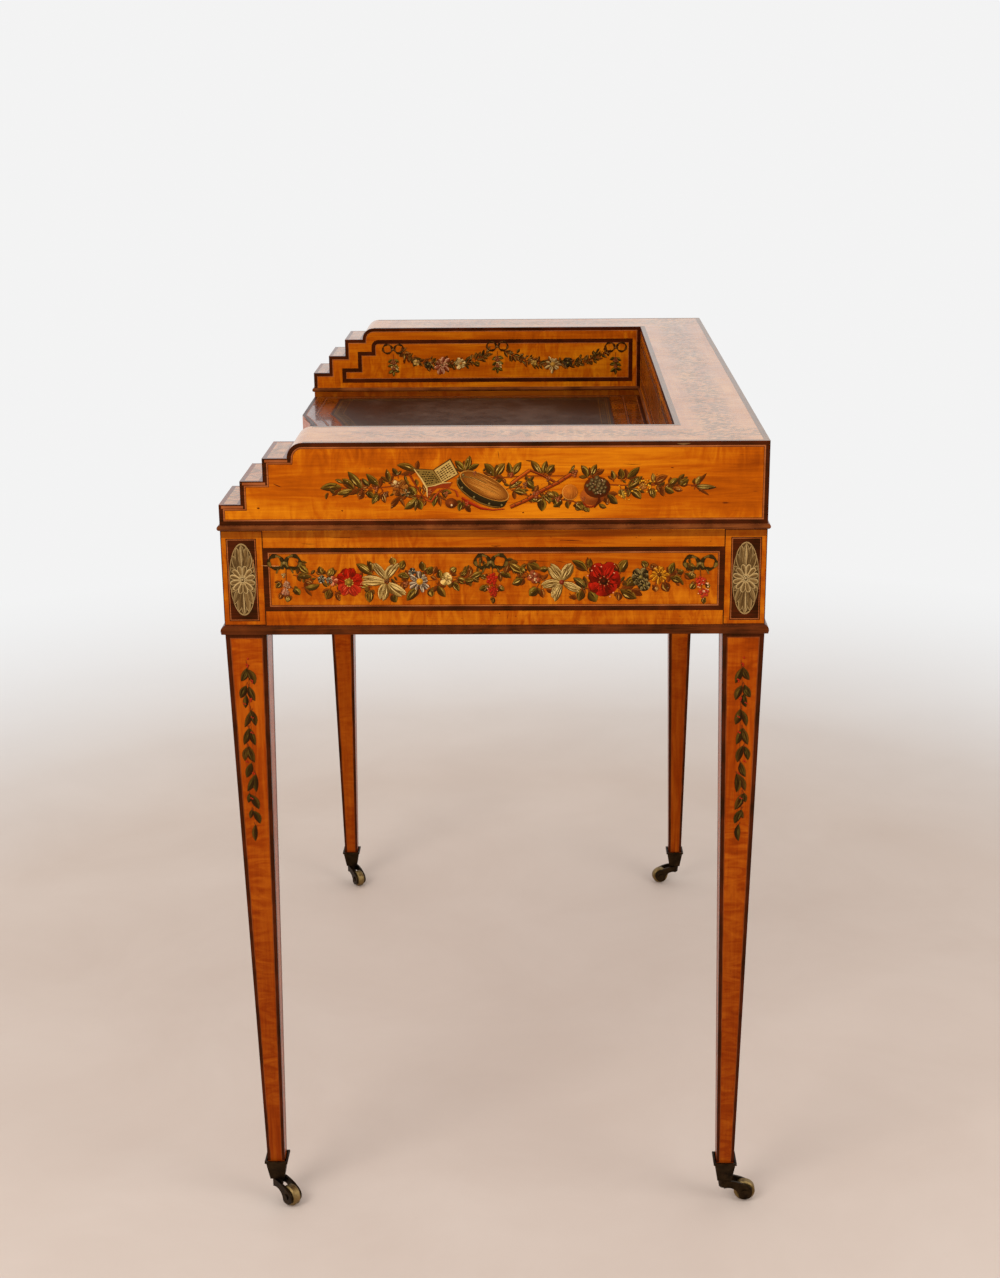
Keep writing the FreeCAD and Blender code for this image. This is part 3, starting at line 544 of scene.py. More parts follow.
class Work:
    """One piece of thin work: closed shapes on faces, in one mesh. Only the paint reads their colours."""

    def __init__(self, name, body, slot, material, rise=BAND_RISE):
        self.name, self.body, self.slot, self.material, self.rise = name, body, slot, material, rise
        self.verts, self.faces, self.tones = [], [], []
        self.count, self.level = 0, 0.0

    def on(self, face):
        self.point, self.flip = face
        return self

    def lift(self, base):
        """Each shape lies a hair higher than the one before, so that none lies in another's surface."""
        self.count += 1
        return base + self.level + (self.count % 60) * 0.002

    def add(self, faces, first):
        """Faces by the numbers of a shape's own points, turned round where the face looks the other way."""
        faces = [[first + i for i in face] for face in faces]
        self.faces += [face[::-1] for face in faces] if self.flip else faces

    def shape(self, top, rim, faces, tones, height):
        """Closed shape from its upper points and faces. rim lists the upper points round its edge."""
        first, low, n = len(self.verts), len(top), len(rim)
        self.verts += [self.point(u, v, height + h) for u, v, h in top]
        self.verts += [self.point(top[i][0], top[i][1], SUNK) for i in rim]
        tones = [linear(tone) for tone in tones]
        self.tones += tones + [tones[i] for i in rim]
        walls = [[rim[(i + 1) % n], rim[i], low + i, low + (i + 1) % n] for i in range(n)]
        self.add(faces + walls + [[low + i for i in reversed(range(n))]], first)

    def stroke(self, spine, widths, mid=BLACK, lit=None, shade=None, height=0.16, crown=0.10):
        """Brush stroke along a line of points. Widths are half widths, and 0 makes a point."""
        lit = lit or mid
        profile = ((1, 0, lit), (0, crown, mid), (-1, 0, shade or lit))
        last = len(spine) - 1
        top, tones, rows, faces = [], [], [], []
        for i, ((u, v), w) in enumerate(zip(spine, widths)):
            along = (Vector(spine[min(i + 1, last)]) - Vector(spine[max(i - 1, 0)])).normalized()
            pointed = w < 0.01
            first = len(top)
            rows.append([first] * 3 if pointed else [first, first + 1, first + 2])
            for s, h, tone in ((0, 0, mid),) if pointed else profile:
                top.append((u - along.y * w * s, v + along.x * w * s, h))
                tones.append(tone)
        for near, far in zip(rows, rows[1:]):
            for k in (0, 1):
                face = list(dict.fromkeys((near[k], near[k + 1], far[k + 1], far[k])))
                if len(face) > 2:
                    faces.append(face[::-1])
        rim = [row[2] for row in rows] + [rows[-1][1]] + [row[0] for row in reversed(rows)] + [rows[0][1]]
        self.shape(top, list(dict.fromkeys(rim)), faces, tones, self.lift(height))

    def dome(self, c, r, colour, light=None, height=0.16, crown=0.25, sides=10, squash=1.0):
        """Round dab of paint, paler towards its upper left."""
        light = light or blend(colour, (255, 245, 225), 0.3)
        top = [(c[0] - r * 0.15, c[1] + r * 0.15, crown)]
        tones = [light]
        for share, h in ((0.55, crown * 0.8), (1.0, 0.0)):
            for i in range(sides):
                a = TAU * i / sides
                top.append(polar(c, a, r * share, r * share * squash) + (h,))
                lit = 0.5 + 0.5 * math.cos(a - 2.3)
                tones.append(blend(blend(colour, (20, 8, 4), 0.25), blend(colour, light, 0.5), lit))
        faces = []
        for i in range(sides):
            near, far = 1 + i, 1 + (i + 1) % sides
            faces += [[0, near, far], [near, near + sides, far + sides, far]]
        self.shape(top, range(1 + sides, 1 + 2 * sides), faces, tones, self.lift(height))

    def plate(self, outline, height=None, colour=BLACK, step=None):
        """Flat shape from its outline, which runs either way round and may not be hollow."""
        outline = anticlockwise(divided(outline, counts_of(outline, step)))
        n = len(outline)
        top = [(u, v, 0.0) for u, v in outline]
        self.shape(top, range(n), [list(range(n))], [colour] * n, height or self.rise)

    def ring(self, outline, start, end, height=None, colour=BLACK, step=None):
        """Band of even width that follows an outline, from one distance inside it to another."""
        outline = anticlockwise(outline)
        outer = inset(outline, start)
        counts = counts_of(outer, step)
        self.loops(divided(outer, counts), divided(inset(outline, end), counts), height, colour)

    def loops(self, outer, inner, height=None, colour=BLACK):
        """Closed band between two loops with the same number of points."""
        n, first = len(outer), len(self.verts)
        if area_of(outer) < 0:
            outer, inner = outer[::-1], inner[::-1]
        for loop in (outer, inner):
            for h in (height or self.rise, SUNK):
                self.verts += [self.point(u, v, h) for u, v in loop]
        self.tones += [linear(colour)] * (4 * n)
        made = []
        for i in range(n):
            j = (i + 1) % n
            made += [[i, j, 2 * n + j, 2 * n + i], [j, i, n + i, n + j],
                     [2 * n + i, 2 * n + j, 3 * n + j, 3 * n + i], [n + i, 3 * n + i, 3 * n + j, n + j]]
        self.add(made, first)

    def done(self):
        mesh = bpy.data.meshes.new(self.name)
        mesh.from_pydata(self.verts, [], self.faces)
        layer = mesh.attributes.new("tone", "FLOAT_COLOR", "POINT")
        layer.data.foreach_set("color", [c for tone in self.tones for c in tone])
        mesh.validate()
        mesh.update()
        mesh.materials.append(self.material)
        piece = placed(self.name, mesh)
        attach(piece, self.body)


# Painted flowers and leaves

# Each leaf colour is body, lit side and shaded side
OLIVE = ((70, 60, 18), (122, 110, 40), (36, 26, 8))
BROWN = ((104, 50, 13), (138, 82, 28), (62, 26, 7))
DEEP = ((48, 44, 20), (100, 98, 48), (24, 18, 8))
PALE = ((120, 104, 40), (168, 156, 82), (76, 58, 18))
HUSK = ((38, 34, 12), (64, 60, 24), (20, 13, 5))
DUSK = ((78, 52, 16), (124, 94, 40), (42, 26, 8))
KINDS = (OLIVE, BROWN, DEEP, PALE, HUSK, DUSK)
RIBBON = ((42, 36, 18), (108, 94, 48), (20, 15, 8))
INNER_RIBBON = ((52, 32, 14), (92, 62, 30), (26, 14, 7))
CREAM_TONES = ((140, 122, 78), (200, 184, 138), (82, 60, 28))
UNDER = (84, 34, 8)
STEM = (104, 40, 12)
CREAM = (196, 180, 126)
RED = (170, 22, 10)
GLINT = (214, 200, 136)

# Half breadth of a stroke along its length: leaf, narrow petal and broad petal
BLADE = ((0, 0.14), (0.12, 0.5), (0.3, 0.88), (0.48, 1.0), (0.68, 0.86), (0.86, 0.48), (1, 0.0))
PETAL = ((0, 0.2), (0.22, 0.6), (0.48, 0.9), (0.7, 1.0), (0.88, 0.86), (1, 0.34))
LOBE = ((0, 0.3), (0.16, 0.7), (0.4, 1.0), (0.66, 0.92), (0.86, 0.56), (1, 0.05))


def dulled(tones, colour, share):
    return tuple(blend(tone, colour, share) for tone in tones)


class Painter:
    """Draws painted ornament into a Work, with its own seeded chance. mirror is -1 on a left side."""

    def __init__(self, work, seed, mirror=1):
        self.w, self.r, self.mirror = work, random.Random(seed), mirror

    def at(self, u, v):
        return (self.mirror * u, v)

    def line(self, *points):
        return [self.at(*point) for point in points]

    def jitter(self, colour, amount=0.12):
        k = 1 + self.r.uniform(-amount, amount)
        return tuple(max(0, min(255, c * k)) for c in colour)

    def blade(self, foot, tip, width, tones, bend=0.0, profile=BLADE, under=UNDER, streaks=3, height=0.16,
              crown=0.1, bright=GLINT):
        """One loaded stroke: a soft dark edge, the body lit on its upper side, and streaks."""
        body, light, dark = tones
        length, angle = math.dist(foot, tip), heading(foot, tip)
        c, s = math.cos(angle), math.sin(angle)

        def place(t, across=0.0):
            x, y = t * length, bend * length * math.sin(t * math.pi) + across
            return (foot[0] + x * c - y * s, foot[1] + x * s + y * c)

        spine = [place(t) for t, w in profile]
        lit, mid, shade = (self.jitter(tone) for tone in (light, body, dark))
        if c < 0:
            lit, shade = shade, lit
        if under:
            edge = [w * width * 0.54 + 0.1 for t, w in profile]
            self.w.stroke(spine, edge, under, height=height - 0.04, crown=0.02)
        self.w.stroke(spine, [w * width * 0.5 for t, w in profile], mid, lit, shade, height, crown)
        for i in range(streaks):
            share = (i + self.r.uniform(0.2, 0.8)) / streaks - 0.5
            first, last = self.r.uniform(0.08, 0.3), self.r.uniform(0.6, 0.95)
            stations = (first, first * 0.6 + last * 0.4, last)
            marks = [place(t, share * width * 0.8 * (1 - abs(2 * t - 1) ** 2 * 0.7)) for t in stations]
            if self.r.random() < 0.38:
                colour = blend(light, bright, self.r.uniform(0.1, 0.75))
            else:
                colour = blend(dark, mid, self.r.uniform(0, 0.4))
            widths = [0.05, max(0.14, width * self.r.uniform(0.04, 0.09)), 0.03]
            self.w.stroke(marks, widths, colour, height=height + 0.26, crown=0.03)

    def leaf(self, at, angle, length, width, tones=OLIVE, bend=0.0):
        """Leaf from its foot, by angle and length. width is half its breadth."""
        self.blade(at, polar(at, angle, length), width * 2, tones, bend)

    def undergrowth(self, points, n, spread):
        """Small dark leaves and sprigs that fill the ground behind the main ones."""
        for i in range(n):
            place = self.r.random() * (len(points) - 1)
            k = int(place)
            a, b = points[k:k + 2]
            u, v = blend(a, b, place - k)
            at = (u, v + max(-1.4, min(1.4, self.r.gauss(0, 1))) * spread)
            way = heading(a, b) + self.r.choice((-1, 1)) * self.r.uniform(0.4, 1.5)
            reach = self.r.uniform(4.5, 9)
            tones = dulled(self.r.choice((BROWN, OLIVE, OLIVE, DEEP)), (86, 38, 10), 0.3)
            width, bend = reach * self.r.uniform(0.38, 0.55), self.r.uniform(-0.1, 0.1)
            self.blade(at, polar(at, way, reach), width, tones, bend, streaks=1, height=0.08)

    def leaves(self, table, around=0.9, bright=GLINT, glints=0.5):
        """Leaves from a table of foot, tip, breadth and kind, with chances of sprigs and lights."""
        for u0, v0, u1, v1, width, kind in table:
            wobble = [self.r.uniform(-0.5, 0.5) for k in range(4)]
            foot = (self.mirror * u0 + wobble[0], v0 + wobble[1])
            tip = (self.mirror * u1 + wobble[2], v1 + wobble[3])
            way = Vector(foot) - Vector(tip)
            back = way.normalized() * self.r.uniform(2.5, 5)
            back += Vector((-way.y, way.x)).normalized() * self.r.uniform(-1.5, 1.5)
            ends = (tuple(Vector(foot) + back), foot, tuple(Vector(foot) - back * 0.2))
            self.stem(ends, 0.5, (86, 30, 9))
            tones = tuple(blend(a, b, self.r.uniform(0, 0.35)) for a, b in zip(KINDS[kind], BROWN))
            for side in (-1, 1):
                if self.r.random() > around:
                    continue
                angle = math.atan2(-back.y, -back.x) + side * self.r.uniform(0.5, 1.1)
                end = polar(foot, angle, math.dist(foot, tip) * self.r.uniform(0.45, 0.8))
                shown = dulled(BROWN if self.r.random() < 0.55 else tones, (70, 34, 10), 0.4)
                self.blade(foot, end, width * self.r.uniform(0.45, 0.68), shown, streaks=1, height=0.1)
            breadth, bend = width * self.r.uniform(0.84, 1.0), self.r.uniform(-0.09, 0.09)
            self.blade(foot, tip, breadth, tones, bend, bright=bright)
            if self.r.random() < 0.6 * around:
                self.w.dome(foot, self.r.uniform(0.7, 1.3), (98, 34, 10), (130, 70, 26), 0.4, sides=7)
            if self.r.random() < glints:
                u, v = blend(foot, tip, self.r.uniform(0.1, 0.9))
                at = (u, v + self.r.uniform(0, width * 0.3))
                self.w.dome(at, self.r.uniform(0.25, 0.5), (206, 186, 140), (226, 214, 180), 0.56, 0.05, 6)

    def stem(self, points, width=0.45, colour=STEM):
        last = len(points) - 1
        widths = [width * (1 - 0.5 * i / last) for i in range(last + 1)]
        mid = blend(colour, (190, 120, 50), 0.3)
        self.w.stroke(points, widths, mid, self.jitter(colour), colour, height=0.12, crown=0.04)

    def branch(self, points):
        """Stem along points with leaves in loose pairs, smaller towards its end."""
        leaf, pitch, taper = 8.0, 7.0, 0.5
        self.stem(points)
        runs = [math.dist(a, b) for a, b in zip(points, points[1:])]
        whole = sum(runs)
        place = pitch * 0.4
        while place < whole:
            d = place
            for a, b, run in zip(points, points[1:], runs):
                if d <= run:
                    break
                d -= run
            at = blend(a, b, d / run)
            size = leaf * (1 - (1 - taper) * place / whole) * self.r.uniform(0.85, 1.12)
            for side in (1, -1):
                way = heading(a, b) + side * self.r.uniform(0.55, 0.95)
                tones = OLIVE if self.r.random() < 0.85 else BROWN
                self.leaf(at, way, size, size * self.r.uniform(0.2, 0.26), tones, -side * 0.08)
            place += pitch * self.r.uniform(0.85, 1.15)
        self.leaf(points[-1], heading(*points[-2:]), leaf * taper * 1.15, leaf * taper * 0.24)

    def petals(self, c, r, n, colour, tip, shade, width=0.42, start=0.12, turn=0.0, vary=0.08, streaks=2):
        """Ring of petals. width is the breadth of half a petal against the flower's radius."""
        for i in range(n):
            a = turn + TAU * i / n + self.r.uniform(-vary, vary)
            end = polar(c, a, r * self.r.uniform(1 - 1.6 * vary, 1 + vary))
            wide = r * width * 2 * self.r.uniform(0.88, 1.08)
            foot = polar(c, a, r * start)
            self.blade(foot, end, wide, (colour, tip, shade), 0.0, PETAL, shade, streaks, bright=tip)

    def petal(self, foot, tip, width, tones, streaks, bright):
        """Broad petal of three strokes with ragged ends."""
        foot, tip = Vector(foot), Vector(tip)
        across = Vector((foot.y - tip.y, tip.x - foot.x)).normalized() * width
        for shift in (self.r.uniform(-0.34, -0.2), self.r.uniform(0.2, 0.34), 0.0):
            start = tuple(foot + across * shift * 0.3)
            end = tuple(foot + (tip - foot) * self.r.uniform(0.86, 1.05) + across * shift)
            wide, bend = width * self.r.uniform(0.6, 0.78), self.r.uniform(-0.12, 0.12)
            self.blade(start, end, wide, tones, bend, LOBE, tones[2], streaks, bright=bright)

    def star(self, table):
        """Open cream flower, from the foot, tip and breadth of each petal."""
        for u0, v0, u1, v1, width in table:
            self.petal(self.at(u0, v0), self.at(u1, v1), width, CREAM_TONES, 5, (214, 204, 160))

    def dots(self, c, r, n, colour, size):
        """Small dabs round a ring."""
        for i in range(n):
            at = polar(c, TAU * i / n + self.r.uniform(-0.2, 0.2), r)
            self.w.dome(at, size * self.r.uniform(0.8, 1.2), self.jitter(colour), height=0.56, sides=6)

    def red_flower(self, c, r, turn):
        """Open flower of five broad ragged petals round an olive eye."""
        tones = ((148, 12, 5), (170, 26, 12), (92, 6, 2))
        for i in range(5):
            a = turn + TAU * i / 5
            shown, bright = tones, (184, 48, 30)
            if math.sin(a) < -0.3:
                shown, bright = dulled(tones, (190, 96, 74), 0.24), (212, 120, 96)
            self.petal(polar(c, a, r * 0.2), polar(c, a, r), r * self.r.uniform(0.84, 1.0), shown, 3, bright)
        self.w.dome(c, r * 0.27, (98, 78, 28), (168, 148, 66), height=0.6)
        self.dots(c, r * 0.27, 9, (180, 146, 52), r * 0.055)

    def rose(self, c, r):
        """Full red flower with ragged petals round a dark heart."""
        self.petals(c, r, 7, (118, 6, 4), (164, 24, 16), (66, 3, 2), 0.4, turn=0.2, vary=0.18, streaks=4)
        self.petals(c, r * 0.8, 6, (124, 8, 5), (146, 16, 9), (68, 3, 2), turn=0.55, vary=0.16, streaks=4)
        self.petals(c, r / 2, 6, (110, 6, 4), (150, 20, 12), (58, 3, 2), 0.4, turn=0.1, vary=0.12, streaks=3)
        for a, k in ((2.4, 0.86), (2.1, 0.95), (1.75, 0.8), (2.8, 0.9), (0.7, 0.7), (-1.2, 0.9), (-0.9, 0.8)):
            self.w.dome(polar(c, a, r * k), r * 0.045, (206, 128, 112), (232, 178, 160), height=0.7, sides=7)
        self.w.dome(c, r * 0.2, (26, 6, 4), (84, 24, 10), height=0.66)
        self.dots(c, r * 0.25, 8, (160, 104, 60), r * 0.035)

    def daisy(self, c, r, n, colour, heart, tip, shade):
        """Round flower of many narrow petals."""
        self.petals(c, r, n, colour, tip, shade, 0.17, start=0.2, vary=0.16)
        self.w.dome(c, r * 0.32, heart, blend(heart, (244, 210, 110), 0.5), height=0.56)

    def bud(self, c, r, colour=CREAM):
        """Small half-open flower."""
        self.petals(c, r, 5, colour, blend(colour, (232, 224, 196), 0.5), (104, 84, 40), turn=1.5, vary=0.16)
        self.w.dome(c, r * 0.26, blend(colour, (110, 80, 30), 0.6), height=0.52)

    def dark_rose(self, c, r, tip=(140, 132, 98)):
        """Dark flower of folded petals, with pale edges."""
        for k, n, t in ((1.0, 6, 0.1), (0.66, 5, 0.6), (0.38, 4, 0.2)):
            self.petals(c, r * k, n, (44, 38, 24), tip, (20, 16, 10), 0.46, turn=t, vary=0.14)
        self.w.dome(c, r * 0.2, (110, 104, 50), height=0.62)

    def blossoms(self, c, r, colour, dots=(212, 196, 170), n=7):
        """Loose cluster of dabs with lights among them."""
        for at in scattered(c, r * 0.72, n):
            size = r * self.r.uniform(0.34, 0.46)
            tone = self.jitter(blend(colour, UNDER, self.r.uniform(0, 0.4)), 0.2)
            self.w.dome(at, size, tone, height=0.4, sides=8)
        self.sprinkle(c, r * 0.8, n, dots, r * 0.13)

    def berries(self, c, spread, n, colour, size):
        for at in scattered(c, spread, n, 0.3, 1.1):
            r, tone = size * self.r.uniform(0.8, 1.15), self.jitter(colour)
            self.w.dome(at, r, tone, blend(colour, (226, 130, 96), 0.3), height=0.4, sides=8)

    def sprinkle(self, c, spread, n, colour, size):
        for i in range(n):
            at = polar(c, self.r.uniform(0, 6.28), spread * math.sqrt(self.r.random()))
            self.w.dome(at, size * self.r.uniform(0.7, 1.2), self.jitter(colour), height=0.5, sides=6)

    def ribbon(self, points, width, tones=RIBBON):
        """Ribbon that narrows and catches the light as it turns."""
        for i in range(0, len(points) - 1, 3):
            part = points[i:i + 4]
            mid = tones[1] if i // 3 % 3 == 1 else tones[0]
            swell = [width * (0.75 + 0.3 * math.sin((i + k) * 1.1)) for k in range(len(part))]
            self.w.stroke(part, swell, self.jitter(mid), blend(mid, tones[0], 0.3), tones[2], height=0.4)

    def tape(self, points, width, colour):
        """Narrow band of one colour, lit on one side."""
        widths = [width * (0.7 + 0.4 * math.sin(i * 1.3)) for i in range(len(points))]
        lit, shade = blend(colour, (220, 140, 90), 0.3), blend(colour, (40, 10, 4), 0.5)
        self.w.stroke(points, widths, colour, lit, shade, height=0.36)

    def bow(self, c, size, tails=True, broad=0.24, tones=RIBBON):
        """Bow with two round loops, a knot and two short tails."""
        for side in (-1, 1):
            centre = (c[0] + side * size * 1.03, c[1] + size * 0.1)
            start = math.pi / 2 * (1 - side) + math.pi
            loop = [polar(centre, start - side * TAU * i / 24, size * 0.82, size * 0.78) for i in range(25)]
            self.ribbon(loop, size * broad, tones)
            if tails:
                drops = [(k, 0.2 + 0.9 * k + 0.25 * math.sin(k * 7)) for k in (0, 0.25, 0.5, 0.75, 1.0)]
                self.ribbon([(c[0] + side * size * k, c[1] - size * drop) for k, drop in drops], size * 0.16)
        self.w.dome(c, size * 0.2, tones[1], height=0.52)

    def pendant(self, c, drop, colour, lights):
        """Short hanging cluster of leaves and blossoms."""
        def down(k):
            return (c[0], c[1] - drop * k)

        self.stem([c, down(0.9)])
        for k in (0.25, 0.5, 0.75):
            for side in (-1, 1):
                self.leaf(down(k), side * self.r.uniform(0.9, 1.35) - math.pi / 2, drop * 0.3, drop * 0.08)
        self.leaf(down(0.8), -math.pi / 2, drop * 0.26, drop * 0.06)
        self.blossoms(down(0.38), drop * 0.15, colour, lights)
        self.blossoms(down(0.68), drop * 0.12, colour, lights)


# Finishes

PAINT = paint("paint", (1, 0.72, 0.4, 1))
PAINT_PALE = paint("paint_pale", (1, 0.84, 0.85, 1))
SATIN = satinwood("satinwood")
# A darker copy of the satinwood for the gallery's drawer fronts: painted shade for the recess between the
# arms
SATIN_SHADED = satinwood("satinwood_shaded", ((84, 30, 3), (118, 50, 5), (150, 76, 12)))
SATIN_TOP = satinwood("satinwood_top", ((140, 78, 34), (184, 116, 58), (206, 144, 84)), 0.12, CLEAR_TINT, 0.3)
BAND = dark_wood("banding", (26, 7, 2), (76, 24, 6))
BAND_TREAD = dark_wood("banding_tread", (84, 40, 22), (136, 74, 42), 0.12, CLEAR_TINT)
BAND_TOP = dark_wood("banding_top", (104, 78, 60), (144, 112, 88), 0.14, CLEAR_TINT)
MOULD = dark_wood("moulding", (62, 22, 7), (128, 66, 28), 0.22)
MOULD_LOW = dark_wood("moulding_low", (40, 12, 4), (98, 42, 14), 0.22)
LINE = dark_wood("stringing", (124, 56, 22), (172, 98, 52))
LINE_LOW = dark_wood("stringing_low", (92, 36, 12), (140, 66, 28))
LINING = lining_wood()
HIDE = hide()
BRASS = metal("brass", (120, 84, 28), (196, 156, 78), 0.16, 0.3)
BRONZE = metal("bronze", (16, 11, 7), (62, 46, 28), 0.32, 0.35)
GILT = metal("gilding", (96, 66, 28), (160, 122, 62), 0.3, 0.3)
TREAD = metal("wheel_brass", (84, 64, 36), (150, 124, 78), 0.3, 0.35)

# What isn't plain satinwood, by how its name starts and ends
FINISH = (
    ("castor_", "", BRONZE), ("castor_wheel", "", TREAD), ("writing_leather", "", HIDE),
    ("base_moulding", "", MOULD_LOW), ("waist_moulding", "", MOULD), ("gallery_back_cap", "", SATIN_TOP),
    ("right_arm_cap", "", SATIN_TOP), ("left_arm_cap", "", SATIN_TOP), ("drawer_runners", "", LINING),
    ("drawer_guides", "", LINING), ("gallery", "_drawer_front", SATIN_SHADED), ("", "_knobs", BRASS),
    ("", "_drawer_box", LINING),
)
for name, node in NODES.items():
    finish = SATIN
    for start, end, other in FINISH:
        if name.startswith(start) and name.endswith(end):
            finish = other
    node.data.materials.clear()
    node.data.materials.append(finish)


# Lines and bands


def inlay(name, face=(None, None), body="desk", line=LINE):
    """Dark banding and pale stringing on a face, as two pieces."""
    return (Work(name + "_banding", body, "moulding_wood", BAND).on(face),
            Work(name + "_stringing", body, "moulding_wood", line, LINE_RISE).on(face))


def finished(*works):
    for work in works:
        work.done()


def arm_outline():
    """Outline of an arm's side, with its three steps and the quarter round."""
    points = [(FRONT, WAIST)]
    for z, front, back in TREADS:
        points += [(front, z), (back, z)]
    return points + quarter(ROUND_CENTRE, ROUND_RADIUS, 8) + [(HALF_DEPTH, TOP), (HALF_DEPTH, WAIST)]


def block(dark, thin, at, top=BLOCK_TOP):
    """Dark block with a pale line, on a post of the frieze."""
    outline = rect(at - BLOCK_HALF, BLOCK_FOOT, at + BLOCK_HALF, top)
    dark.plate(outline)
    thin.ring(outline, 0.9, 1.7, 0.16)


def seams(dark, at):
    """Seam of the veneer over and under the end of a panel."""
    for low, high in ((BASE_TOP, PANEL_FOOT), (PANEL_TOP, BEAD_FOOT)):
        dark.plate(rect(at - 0.4, low, at + 0.4, high), 0.08)


def end_bands(side):
    """Bands and lines on an end: round the arm, on its steps, round the frieze's panel and on the posts."""
    dark, thin = inlay(side + "_end", END[side])
    dark.ring(arm_outline(), 0.0, 4.3)
    thin.ring(arm_outline(), 4.3, 5.7, 0.14)
    dark.ring(arm_outline(), 5.7, 6.1, 0.08)
    for (z, front, back), past in zip(TREADS, (2.5, 2.5, 0.5)):
        thin.plate(rect(front + 2.6, z - 3.9, back + past, z - 1.2))
    panel = rect(-END_PANEL, PANEL_FOOT, END_PANEL, PANEL_TOP)
    dark.ring(panel, 0.0, 5.0)
    thin.ring(panel, 5.0, 6.2, 0.14)
    dark.ring(panel, 6.2, 6.7, 0.08)
    for end, near, far in ((-1, FRONT, -END_PANEL), (1, END_PANEL, HALF_DEPTH)):
        seams(dark, end * END_PANEL)
        block(dark, thin, end * END_BLOCK)
        dark.ring(rect(near, BASE_TOP, far, BEAD_FOOT), 0.0, 0.7, 0.09)
    finished(dark, thin)


def arm_inner_bands(side):
    """Border and stepped panel on the inner face of an arm."""
    dark, thin = inlay(side + "_arm", ARM[side])
    for work, near, far in ((dark, 0.0, 4.6), (thin, 4.6, 5.6)):
        # The border's lower side is sunk in the bead
        foot = WAIST + 0.05 - far
        steps = arm_outline()[1:-2]
        work.ring([(FRONT, foot)] + steps + [(BACK_INNER, TOP), (BACK_INNER, foot)], near, far)
    panel = [(-237, 808.3), (-237, 827), (-214, 827), (-214, 850.6), (-194, 850.6), (-194, 858.3)]
    panel += quarter((-185, 858.3), 9, 6) + [(177, 867.3), (177, 808.3)]
    dark.ring(panel, -1.0, 4.4)
    thin.ring(panel, 4.4, 5.2)
    finished(dark, thin)


def top_bands():
    """Crossbanding on the level tops of the gallery and the treads, and bands round the risers."""
    pale = Work("gallery_top_banding", "desk", "moulding_wood", BAND_TOP, 0.08).on(band_face("Z", 1, TOP))
    tread = Work("tread_banding", "desk", "moulding_wood", BAND_TREAD, 0.05)
    dark, thin = inlay("riser")
    wide, round_back = 6, -191
    pale.plate(rect(wide - HALF_LENGTH, HALF_DEPTH - wide, HALF_LENGTH - wide, HALF_DEPTH))
    pale.plate(rect(-ARM_INNER - wide, BACK_INNER, ARM_INNER + wide, BACK_INNER + wide))
    for side in (-1, 1):
        for x, y in ((HALF_LENGTH - wide, HALF_DEPTH), (ARM_INNER, BACK_INNER)):
            pale.plate(rect(side * x, round_back, side * (x + wide), y))
        low = WAIST
        for z, front, back in TREADS:
            step = rect(side * HALF_LENGTH, front, side * ARM_INNER, back)
            tread.on(band_face("Z", 1, z)).ring(step, 0.0, 4.6)
            face, riser = band_face("Y", -1, front), rect(side * HALF_LENGTH, low, side * ARM_INNER, z)
            dark.on(face).ring(riser, 0.0, 3.4, 0.08)
            thin.on(face).ring(riser, 3.4, 4.3, 0.11)
            low = z
    finished(pale, tread, dark, thin)


def front_loop(gap, half, back, count=36):
    """Closed line on the writing surface: the bowed front moved back by gap, both sides and the back."""
    corner = bow_corner(gap)
    points = [(-half, FRONT + gap)]
    for i in range(count + 1):
        x = -corner + 2 * corner * i / count
        points.append((x, bow_y(x, gap)))
    return points + [(half, FRONT + gap), (half, back), (-half, back)]


def leather_loop(d, count=36):
    """Closed line inside the leather's edge by d."""
    return front_loop(LEATHER_GAP + d, LEATHER_HALF - d, LEATHER_BACK - d, count)


def walk(loop, pitch):
    """Evenly spaced places and directions along a closed line."""
    out, left = [], pitch * 0.5
    for a, b in sides_of(loop):
        run = math.dist(a, b)
        while left <= run > 0:
            out.append((blend(a, b, left / run), heading(a, b)))
            left += pitch
        left -= run
    return out


def writing_bands():
    """Lines round the writing surface and the leather, which follow the bowed edge, and the gilding."""
    face = band_face("Z", 1, WRITING)
    dark, thin = inlay("writing", face)
    for work, near, far, height in (
            (dark, (0.0, 375, 188.5), (4.6, 370.4, 184), 0.08),
            (thin, (4.6, 370.4, 184), (5.6, 369.4, 183), 0.11),
            (dark, (17.0, 366, 166), (18.2, 364.8, 164.8), 0.08),
            (thin, (18.2, 364.8, 164.8), (19.4, 363.6, 163.6), 0.11),
            (dark, (19.4, 363.6, 163.6), (20.6, 362.4, 162.4), 0.08),
            (dark, (37.4, 358.6, 145.6), (39.0, 357, 144), 0.07)):
        work.loops(front_loop(*near), front_loop(*far), height)
    gilt = Work("leather_gilding", "desk", "knob_brass", GILT, 0.06).on(face)
    for near, far in ((3.5, 4.4), (6.0, 6.6), (15.5, 16.1)):
        gilt.loops(leather_loop(near), leather_loop(far))
    for at, way in walk(leather_loop(11, 60), 13.0):
        for turn in (0.7, -0.7, 2.44, -2.44):
            petal = [at, polar(at, way + turn, 2.4), polar(at, way + turn, 3.6)]
            gilt.stroke(petal, [0.0, 0.5, 0.0], height=0.05, crown=0.02)
    finished(dark, thin, gilt)


